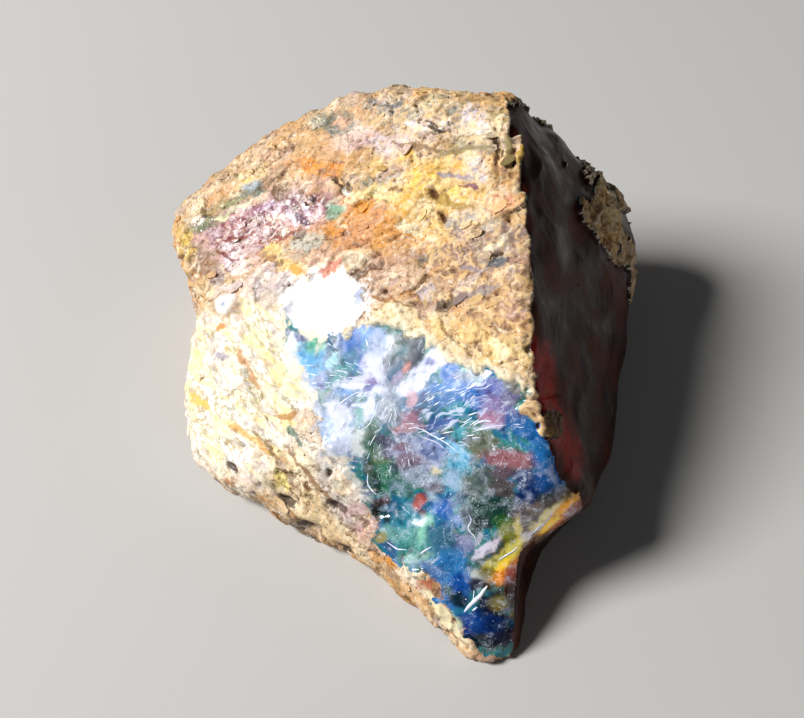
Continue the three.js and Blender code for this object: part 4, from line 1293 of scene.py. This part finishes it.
def scatter_tree(name, body, material, sizes):
    """Small bodies set over the lump where its cover field is high, in its grain or at random."""
    tree, inp = new_tree(name, sizes)
    cover = add(tree, STORED, {"data_type": "FLOAT"}, {"Name": "cover"})
    dense = add(tree, MATH, TIMES, {0: (inp, "Spacing"), 1: (inp, "Spacing")})
    dense = add(tree, MATH, OVER, {0: 2.0, 1: dense})
    points = add(tree, "GeometryNodeDistributePointsOnFaces", {"distribute_method": "POISSON"}, {
        "Mesh": (inp, "Geometry"), "Distance Min": (inp, "Spacing"), "Density Max": dense,
        "Density Factor": cover, "Seed": (inp, "Seed")})
    share = add(tree, "FunctionNodeRandomValue", {"data_type": "FLOAT"}, {2: 0.0, 3: 1.0, "Seed": 4})
    sunk = add(tree, MATH, TIMES_PLUS, {0: (share, 1), 1: (inp, "Depth"), 2: (inp, "Least depth")})
    sunk = add(tree, MATH, TIMES, {0: sunk, 1: -1.0})
    sunk = add(tree, VECTOR, SCALED, {0: (points, "Normal"), "Scale": sunk})
    aim = add(tree, STORED, {"data_type": "FLOAT_VECTOR"}, {"Name": "aim"})
    turn = add(tree, "FunctionNodeAlignRotationToVector", {"axis": "X", "pivot_axis": "Z"},
               {"Rotation": (points, "Rotation"), "Vector": aim})
    spin = []
    for seed, reach in ((5, "Tilt"), (6, "Tilt"), (7, "Turn")):
        low = add(tree, MATH, TIMES, {0: (inp, reach), 1: -1.0})
        angle = add(tree, "FunctionNodeRandomValue", {"data_type": "FLOAT"}, {
            2: low, 3: (inp, reach), "Seed": seed})
        spin.append((angle, 1))
    spin = add(tree, "FunctionNodeEulerToRotation", {}, {0: add(tree, JOIN, {}, dict(enumerate(spin)))})
    turn = add(tree, "FunctionNodeRotateRotation", {"rotation_space": "LOCAL"}, {0: turn, 1: spin})
    points = add(tree, "GeometryNodeSetPosition", {}, {"Geometry": points, "Offset": sunk})
    size = add(tree, "FunctionNodeRandomValue", {"data_type": "FLOAT"}, {
        2: (inp, "Smallest"), 3: 1.0, "Seed": 8})
    size = add(tree, VECTOR, SCALED, {0: add(tree, JOIN, {}, {
        0: (inp, "Length"), 1: (inp, "Width"), 2: (inp, "Thickness")}), "Scale": (size, 1)})
    shape = add(tree, "GeometryNodeMesh" + body, {}, BODIES[body])
    rough = add(tree, NOISE, {}, {"Scale": 1.3, "Detail": 1.0})
    rough = add(tree, VECTOR, MINUS, {0: (rough, 1), 1: (0.5, 0.5, 0.5)})
    rough = add(tree, VECTOR, SCALED, {0: rough, "Scale": (inp, "Unevenness")})
    shape = add(tree, "GeometryNodeSetPosition", {}, {"Geometry": shape, "Offset": rough})
    end_tree(tree, add(tree, "GeometryNodeInstanceOnPoints", {}, {
        "Points": points, "Instance": shape, "Rotation": turn, "Scale": size}), material)
    return tree


def scattered(name, cover, body, material, seed, spacing, length, shares, more):
    """A piece of small bodies over the lump, as many as the cover asks for.

    Length is half the length of the largest, and shares are their width and thickness as parts of it.
    """
    base = bpy.data.objects[LUMP].data.copy()
    write_field(base, "cover", np.clip(cover, 0, 1))
    sizes = {"Spacing": spacing, "Length": length, "Width": shares[0] * length, "Thickness": shares[1] * length,
             "Smallest": 0.35, "Tilt": 0.2, "Turn": 3.1, "Depth": 0.0, "Least depth": 0.0, "Seed": seed, **more}
    mesh = grown(base, scatter_tree(name, body, material, sizes), sizes, name)
    return placed(grounded(mesh), name)


def sliver_tree(sizes, material, lump):
    """Thin curved bodies that follow lines over the lump, pointed at both ends and half sunk in it."""
    tree, inp = new_tree("slivers", sizes)
    wide = add(tree, STORED, {"data_type": "FLOAT"}, {"Name": "wide"})
    curve = add(tree, "GeometryNodeMeshToCurve", {}, {"Mesh": (inp, "Geometry")})
    curve = add(tree, "GeometryNodeCurveSplineType", {"spline_type": "CATMULL_ROM"}, {"Curve": curve})
    curve = add(tree, "GeometryNodeResampleCurve", {}, {"Curve": curve, "Count": (inp, "Steps")})
    ground = add(tree, "GeometryNodeObjectInfo", {"transform_space": "RELATIVE"}, {"Object": lump})
    place = add(tree, "GeometryNodeInputPosition")
    shake = add(tree, NOISE, {}, {"Vector": place, "Scale": 900.0, "Detail": 1.0})
    shake = add(tree, VECTOR, MINUS, {0: (shake, 1), 1: (0.5, 0.5, 0.5)})
    shake = add(tree, VECTOR, SCALED, {0: shake, "Scale": (inp, "Waver")})
    hit = add(tree, "GeometryNodeRaycast", {}, {
        "Target Geometry": (ground, "Geometry"),
        "Source Position": add(tree, VECTOR, PLUS, {0: place, 1: shake}),
        "Ray Direction": tuple(-FACE_OUT), "Ray Length": 0.1})
    sunk = add(tree, VECTOR, SCALED, {
        0: (hit, "Hit Normal"), "Scale": add(tree, MATH, TIMES, {0: wide, 1: -0.2})})
    curve = add(tree, "GeometryNodeSetPosition", {}, {
        "Geometry": curve, "Position": (hit, "Hit Position"), "Offset": sunk})
    share = add(tree, "GeometryNodeSplineParameter")
    taper = add(tree, MATH, {"operation": "SINE"}, {
        0: add(tree, MATH, TIMES_PLUS, {0: share, 1: 3.0, 2: 0.07})})
    ring = add(tree, "GeometryNodeCurvePrimitiveCircle", {}, {"Resolution": 7, "Radius": 0.5})
    body = add(tree, "GeometryNodeCurveToMesh", {}, {
        "Curve": curve, "Profile Curve": (ring, "Curve"), "Scale": add(tree, MATH, TIMES, {0: taper, 1: wide}),
        "Fill Caps": True})
    end_tree(tree, body, material)
    return tree


def lines_mesh(lines):
    """Lines over the face as loose edges held above it, each with its width stored."""
    points, edges, widths = [], [], []
    for width, line in lines:
        edges += [(len(points) + i, len(points) + i + 1) for i in range(len(line) - 1)]
        points += [(FACE_U * u + FACE_V * v + FACE_OUT * 40) * MM for u, v in line]
        widths += [width * MM] * len(line)
    mesh = bpy.data.meshes.new("lines")
    mesh.from_pydata(points, edges, [])
    write_field(mesh, "wide", widths)
    return mesh


def lump_fields():
    """What the scattered pieces are placed by: each vertex's place in the face and its surface's fields."""
    mesh = bpy.data.objects[LUMP].data
    points = read(mesh, "vertices", "co") / MM
    names = ("glassy", "front", "window", "side", "flank", "smoothed")
    return SimpleNamespace(
        u=points[:, 0], v=points @ np.array(FACE_V),
        clumps=np.array([noise.noise(Vector(p) / 2.2) for p in points]),
        **{name: read_field(mesh, name) for name in names})


def length(name, millimetres, description):
    """A length that a user can change."""
    return FloatProperty(name=name, description=description, default=millimetres * MM, min=0.0, precision=5,
                         subtype="DISTANCE", unit="LENGTH")


def colour(name, hex_colour, description):
    """A colour that a user can change."""
    return FloatVectorProperty(name=name, description=description, default=linear(hex_colour), size=4, min=0.0,
                               max=1.0, subtype="COLOR")


def chosen(group):
    """A group's values by the names its properties show."""
    return {prop.name: getattr(group, prop.identifier) for prop in group.bl_rna.properties
            if prop.identifier not in ("rna_type", "name")}


class AMBER_PG_relief(bpy.types.PropertyGroup):
    """Sizes of the crust's relief and of the broken faces, by the names of the weathering tree's inputs"""
    crag_size: length("Crag size", 5.0, "Width of the crust's largest lumps")
    crag_height: length("Crag height", 0.35, "Height of the largest lumps")
    shard_length: length("Shard length", 4.2, "Length of the crust's broken shards, along the grain")
    shard_width: length("Shard width", 2.0, "Width of the shards")
    shard_height: length("Shard height", 0.26, "Height of the shards")
    chip_size: length("Chip size", 1.0, "Width of the small chips")
    chip_height: length("Chip height", 0.06, "Height of the small chips")
    streak_length: length("Streak length", 4.2, "Length of the long grain")
    streak_width: length("Streak width", 0.7, "Width of the long grain")
    streak_height: length("Streak height", 0.19, "Height of the long grain")
    comb_size: length("Comb size", 1.25, "Width of the small hollows between thin ridges")
    comb_height: length("Comb height", 0.13, "Height of the thin ridges")
    gap_width: length("Gap width", 0.2, "Width of the gaps that open between shards")
    gap_depth: length("Gap depth", 0.14, "Depth of the gaps")
    ledge_spacing: length("Ledge spacing", 2.3, "Distance between the crust's steps")
    ledge_height: length("Ledge height", 0.2, "Height of the steps")
    pit_spacing: length("Pit spacing", 2.6, "Distance between places where a pit may be")
    pit_depth: length("Pit depth", 0.45, "Depth of the pits")
    crust_thickness: length("Crust thickness", 0.36, "How far the crust stands above the broken faces")
    scallop_size: length("Scallop size", 5.5, "Width of the shell-shaped hollows of the broken faces")
    scallop_depth: length("Scallop depth", 0.34, "Depth of the shell-shaped hollows")
    ripple_size: length("Ripple size", 1.9, "Width of the faint ripples in the hollows")
    ripple_depth: length("Ripple depth", 0.04, "Depth of the faint ripples")
    seed: IntProperty(name="Seed", description="Changes where the random relief falls", default=3, min=0)


class AMBER_PG_lump(bpy.types.PropertyGroup):
    """The lump's mesh and its main colours"""
    face_size: length("Face size", 0.21, "Side of the mesh's even small faces")
    share: FloatProperty(name="Faces kept", description="Share of the faces that stay after thinning",
                         default=0.53, min=0.1, max=1.0, subtype="FACTOR")
    cream: colour("Crust cream", "#DABC90", "The crust's pale weathered resin")
    ochre: colour("Crust ochre", "#C89E6C", "The crust's middle tone")
    earth: colour("Crust earth", "#6E4A28", "Earth in the crust's cracks")
    feather: colour("Feather white", "#C8CCE2", "Strain feathers in the broken face")
    glass: colour("Clear amber", "#5A1E08", "Broken amber away from the light")
    # The colour of the painted glow that the steep side gives off beside the ridge.
    glow: colour("Ridge glow", "#B01804", "Deep red light beside the ridge")


class AMBER_PG_crust_bits(bpy.types.PropertyGroup):
    """Spacing and size of what lies loose on the crust"""
    crumb_spacing: length("Crumb spacing", 0.8, "Least distance between crumbs")
    crumb_length: length("Crumb length", 0.3, "Half length of the largest crumbs")
    flake_spacing: length("Flake spacing", 1.5, "Least distance between flakes")
    flake_length: length("Flake length", 0.95, "Half length of the largest flakes")
    grain_spacing: length("Grain spacing", 0.4, "Least distance between white grains")
    grain_length: length("Grain length", 0.17, "Half length of the largest white grains")
    grain: colour("Grain white", "#F4F2EC", "White grains")


class AMBER_PG_face_bits(bpy.types.PropertyGroup):
    """Spacing and size of what lies in the broken face and is sealed below it"""
    feather_spacing: length("Feather spacing", 0.44, "Least distance between strain feathers")
    feather_length: length("Feather length", 0.75, "Half length of the longest strain feathers")
    sliver_width: length("Sliver width", 1.0, "Scale of the slivers' widths, one for each millimetre")
    speck_spacing: length("Speck spacing", 0.75, "Least distance between specks")
    spangle_spacing: length("Spangle spacing", 2.6, "Least distance between sun spangles")
    spangle_size: length("Spangle size", 0.7, "Radius of the largest sun spangles")
    bubble_spacing: length("Bubble spacing", 2.2, "Least distance between bubbles")
    bubble_size: length("Bubble size", 0.11, "Radius of the largest bubbles")
    white: colour("Healed crack white", "#F4F4FC", "Healed cracks, feathers and slivers")


class AMBER_PG_stage(bpy.types.PropertyGroup):
    """The floor, the lights and the camera"""
    key_power: FloatProperty(name="Key power", description="Power of the main light", default=8.0, min=0.0,
                             unit="POWER")
    key_size: FloatProperty(name="Key size", description="Width of the main light", default=0.28, min=0.01,
                            unit="LENGTH")
    fill_power: FloatProperty(name="Fill power", description="Power of the light on the dark side", default=0.3,
                              min=0.0, unit="POWER")
    room: FloatProperty(name="Room light", description="Strength of the light from all round", default=0.05,
                        min=0.0)
    floor: colour("Floor", "#BDBBB8", "The pale board it lies on")
    lens: FloatProperty(name="Lens", description="The camera's focal length", default=64.9, min=1.0,
                        unit="CAMERA")
    distance: length("Distance", 145.0, "From the lens to the lump")


class AMBER_OT_lump(bpy.types.Operator):
    """Makes the lump with its crust relief and broken faces"""
    bl_idname = "amber.lump"
    bl_label = "Amber Lump"

    def execute(self, context):
        looks = context.scene.amber_lump
        sizes = chosen(context.scene.amber_relief)
        base = welded_lump(looks.face_size)
        write_regions(base)
        mesh = grown(base, relief_tree(sizes, amber_material(looks), shade_material(looks)), sizes, LUMP)
        mesh = grounded(thinned(mesh, looks.share))
        paint_marks(mesh)
        write_aim(mesh)
        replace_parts(placed(mesh, LUMP), NODE)
        return {"FINISHED"}


class AMBER_OT_crumbs(bpy.types.Operator):
    """Sets loose crumbs, thin flakes and white grains over the crust"""
    bl_idname = "amber.crumbs"
    bl_label = "Crust Crumbs"

    def execute(self, context):
        bits = context.scene.amber_crust_bits
        on = lump_fields()
        crust = smooth_step(-0.3, -0.9, on.glassy) * (1 - on.smoothed) * (1 - 0.8 * on.flank)
        inland = smooth_step(-1.0, -2.2, on.side)
        amber = bpy.data.materials["raw amber"]
        scattered("crust_crumbs", crust * smooth_step(-0.1, 0.5, on.clumps), "IcoSphere", amber, 11,
                  bits.crumb_spacing, bits.crumb_length, (0.73, 0.53),
                  {"Unevenness": 0.7, "Depth": 0.33 * bits.crumb_length})
        scattered("crust_flakes", crust * inland * smooth_step(0.1, -0.4, on.clumps), "Cylinder", amber, 12,
                  bits.flake_spacing, bits.flake_length, (0.47, 0.1),
                  {"Unevenness": 0.6, "Depth": 0.06 * bits.flake_length, "Tilt": 0.14, "Turn": 0.5})
        grains = np.maximum(ellipse(on.u, on.v, -20.8, 21.0, 1.2, 0.9),
                            0.6 * ellipse(on.u, on.v, -13.5, 21.2, 5.5, 1.6))
        quartz = plain_material("white grains", (tuple(bits.grain), "#E2D2DC"), 0.3, 0.25, AMBER_IOR)
        scattered("white_grains", crust * on.front * grains, "IcoSphere", quartz, 13,
                  bits.grain_spacing, bits.grain_length, (0.8, 0.7),
                  {"Unevenness": 0.8, "Depth": 0.2 * bits.grain_length})
        return {"FINISHED"}


class AMBER_OT_feathers(bpy.types.Operator):
    """Lays white strain feathers, slivers and specks in the broken face"""
    bl_idname = "amber.feathers"
    bl_label = "Strain Feathers"

    def execute(self, context):
        bits = context.scene.amber_face_bits
        on = lump_fields()
        u, v = on.u, on.v
        face = smooth_step(0.4, 1.0, on.glassy) * on.front * (on.window > 0.4)
        away = smooth_step(1.0, 2.6, np.hypot(u - HEART[0], v - HEART[1]))
        fan = np.maximum(ellipse(u, v, -3.6, 3.6, 6.5, 7.0) * away, 0.8 * ellipse(u, v, 5.0, 2.6, 6.0, 3.4))
        fan *= 1 - 0.9 * np.maximum(ellipse(u, v, -0.2, 7.4, 2.0, 2.6), ellipse(u, v, -4.5, 8.8, 2.0, 2.2))
        veil = plain_material("healed fracture", (tuple(bits.white), "#C6D4F2"), 0.5, 0.3, AMBER_IOR)
        scattered("strain_feathers", face * fan * smooth_step(-0.4, 0.3, on.clumps), "IcoSphere", veil, 21,
                  bits.feather_spacing, bits.feather_length, (0.075, 0.04),
                  {"Unevenness": 0.5, "Depth": 0.03 * bits.feather_length, "Tilt": 0.06, "Turn": 0.3,
                   "Smallest": 0.2})
        scattered("face_specks", face * (0.2 + 0.8 * smooth_step(2, -3, v)), "IcoSphere", veil, 22,
                  bits.speck_spacing, SPECK_LENGTH, (5 / 7, 4 / 7), {"Unevenness": 0.9, "Smallest": 0.3})
        sizes = {"Steps": SLIVER_STEPS, "Waver": SLIVER_WAVER}
        scale = bits.sliver_width / MM
        lines = lines_mesh([(width * scale, line) for width, line in SLIVERS])
        slivers = sliver_tree(sizes, veil, bpy.data.objects[LUMP])
        placed(grown(lines, slivers, sizes, "white_slivers"), "white_slivers")
        return {"FINISHED"}


class AMBER_OT_spangles(bpy.types.Operator):
    """Seals sun spangles and air bubbles below the broken face"""
    bl_idname = "amber.spangles"
    bl_label = "Spangles and Bubbles"

    def execute(self, context):
        bits = context.scene.amber_face_bits
        on = lump_fields()
        face = smooth_step(0.4, 1.0, on.glassy) * on.front * (on.window > 1.5)
        # The spangles give off a faint painted glow of their own colour.
        spangle = plain_material("sun spangle", ("#E8F0F4", "#F2D69A"), 0.8, 0.2, AMBER_IOR, glow=0.05)
        scattered("sun_spangles", face * smooth_step(3, -2, on.v), "Cylinder", spangle, 23,
                  bits.spangle_spacing, bits.spangle_size, (0.85, 0.03),
                  {"Unevenness": 0.25, "Least depth": 1.2 * bits.spangle_size, "Depth": 1.4 * MM, "Tilt": 0.7})
        air = plain_material("air bubble", ("#FFFFFF", "#F0F4FF"), 1.0, 0.05, BUBBLE_IOR, transmission=1.0)
        scattered("air_bubbles", face, "IcoSphere", air, 24, bits.bubble_spacing, bits.bubble_size, (1.0, 1.0),
                  {"Unevenness": 0.0, "Least depth": 2 * bits.bubble_size, "Depth": 1.0 * MM})
        return {"FINISHED"}


class AMBER_OT_stage(bpy.types.Operator):
    """Makes the floor, the lights and the camera"""
    bl_idname = "amber.stage"
    bl_label = "Stage"

    def execute(self, context):
        scene = context.scene
        stage = scene.amber_stage
        bpy.ops.mesh.primitive_plane_add(size=FLOOR_SIZE)
        floor = context.object
        floor.name = "floor"
        material = bpy.data.materials.new("matt pale board")
        material.use_nodes = True
        board = material.node_tree.nodes["Principled BSDF"]
        board.inputs["Base Color"].default_value = stage.floor
        board.inputs["Roughness"].default_value = 0.9
        floor.data.materials.append(material)
        for name, away, size, power in (("key", KEY_SIDE, stage.key_size, stage.key_power),
                                        ("fill", FILL_SIDE, FILL_SIZE, stage.fill_power)):
            light = bpy.data.lights.new(name, "AREA")
            light.shape, light.size, light.energy = "DISK", size, power
            lamp = bpy.data.objects.new(name, light)
            scene.collection.objects.link(lamp)
            away = Vector(away).normalized()
            lamp.location = LAMP_AIM + away * LAMP_DISTANCE
            lamp.rotation_mode = "QUATERNION"
            lamp.rotation_quaternion = away.to_track_quat("Z", "Y")
        world = bpy.data.worlds.new("room")
        scene.world = world
        world.use_nodes = True
        sky = world.node_tree.nodes["Background"]
        sky.inputs["Color"].default_value = linear("#D8DCE4")
        sky.inputs["Strength"].default_value = stage.room
        scene.view_settings.view_transform = "Standard"
        camera = bpy.data.cameras.new("camera")
        camera.lens, camera.sensor_width = stage.lens, 36
        camera.clip_start, camera.clip_end = 0.01, 20
        viewer = bpy.data.objects.new("camera", camera)
        scene.collection.objects.link(viewer)
        viewer.location = CAMERA_AIM + FACE_OUT * stage.distance
        viewer.rotation_euler = (math.pi / 2 - FACE_TILT, 0, 0)
        scene.camera = viewer
        return {"FINISHED"}


GROUPS = {"amber_relief": AMBER_PG_relief, "amber_lump": AMBER_PG_lump, "amber_crust_bits": AMBER_PG_crust_bits,
          "amber_face_bits": AMBER_PG_face_bits, "amber_stage": AMBER_PG_stage}
STEPS = ((AMBER_OT_lump, ("amber_lump", "amber_relief")), (AMBER_OT_crumbs, ("amber_crust_bits",)),
         (AMBER_OT_feathers, ("amber_face_bits",)), (AMBER_OT_spangles, ()), (AMBER_OT_stage, ("amber_stage",)))


class AMBER_PT_pieces(bpy.types.Panel):
    """Lists the amber's pieces in the order they are made, with their sizes and colours"""
    bl_idname = "AMBER_PT_pieces"
    bl_label = "Rough Amber"
    bl_space_type = "VIEW_3D"
    bl_region_type = "UI"
    bl_category = "Amber"

    def draw(self, context):
        for operator, groups in STEPS:
            box = self.layout.box()
            box.operator(operator.bl_idname)
            for name in groups:
                group = getattr(context.scene, name)
                for prop in group.bl_rna.properties:
                    if prop.identifier not in ("rna_type", "name"):
                        box.prop(group, prop.identifier)


CLASSES = (*GROUPS.values(), *(operator for operator, _ in STEPS), AMBER_PT_pieces)


def register():
    for part in CLASSES:
        bpy.utils.register_class(part)
    for name, group in GROUPS.items():
        setattr(bpy.types.Scene, name, PointerProperty(type=group))


def unregister():
    for name in GROUPS:
        delattr(bpy.types.Scene, name)
    for part in reversed(CLASSES):
        bpy.utils.unregister_class(part)


def main():
    register()
    bpy.ops.amber.lump()
    bpy.ops.amber.crumbs()
    bpy.ops.amber.feathers()
    bpy.ops.amber.spangles()
    bpy.ops.amber.stage()


if __name__ == "__main__":
    main()
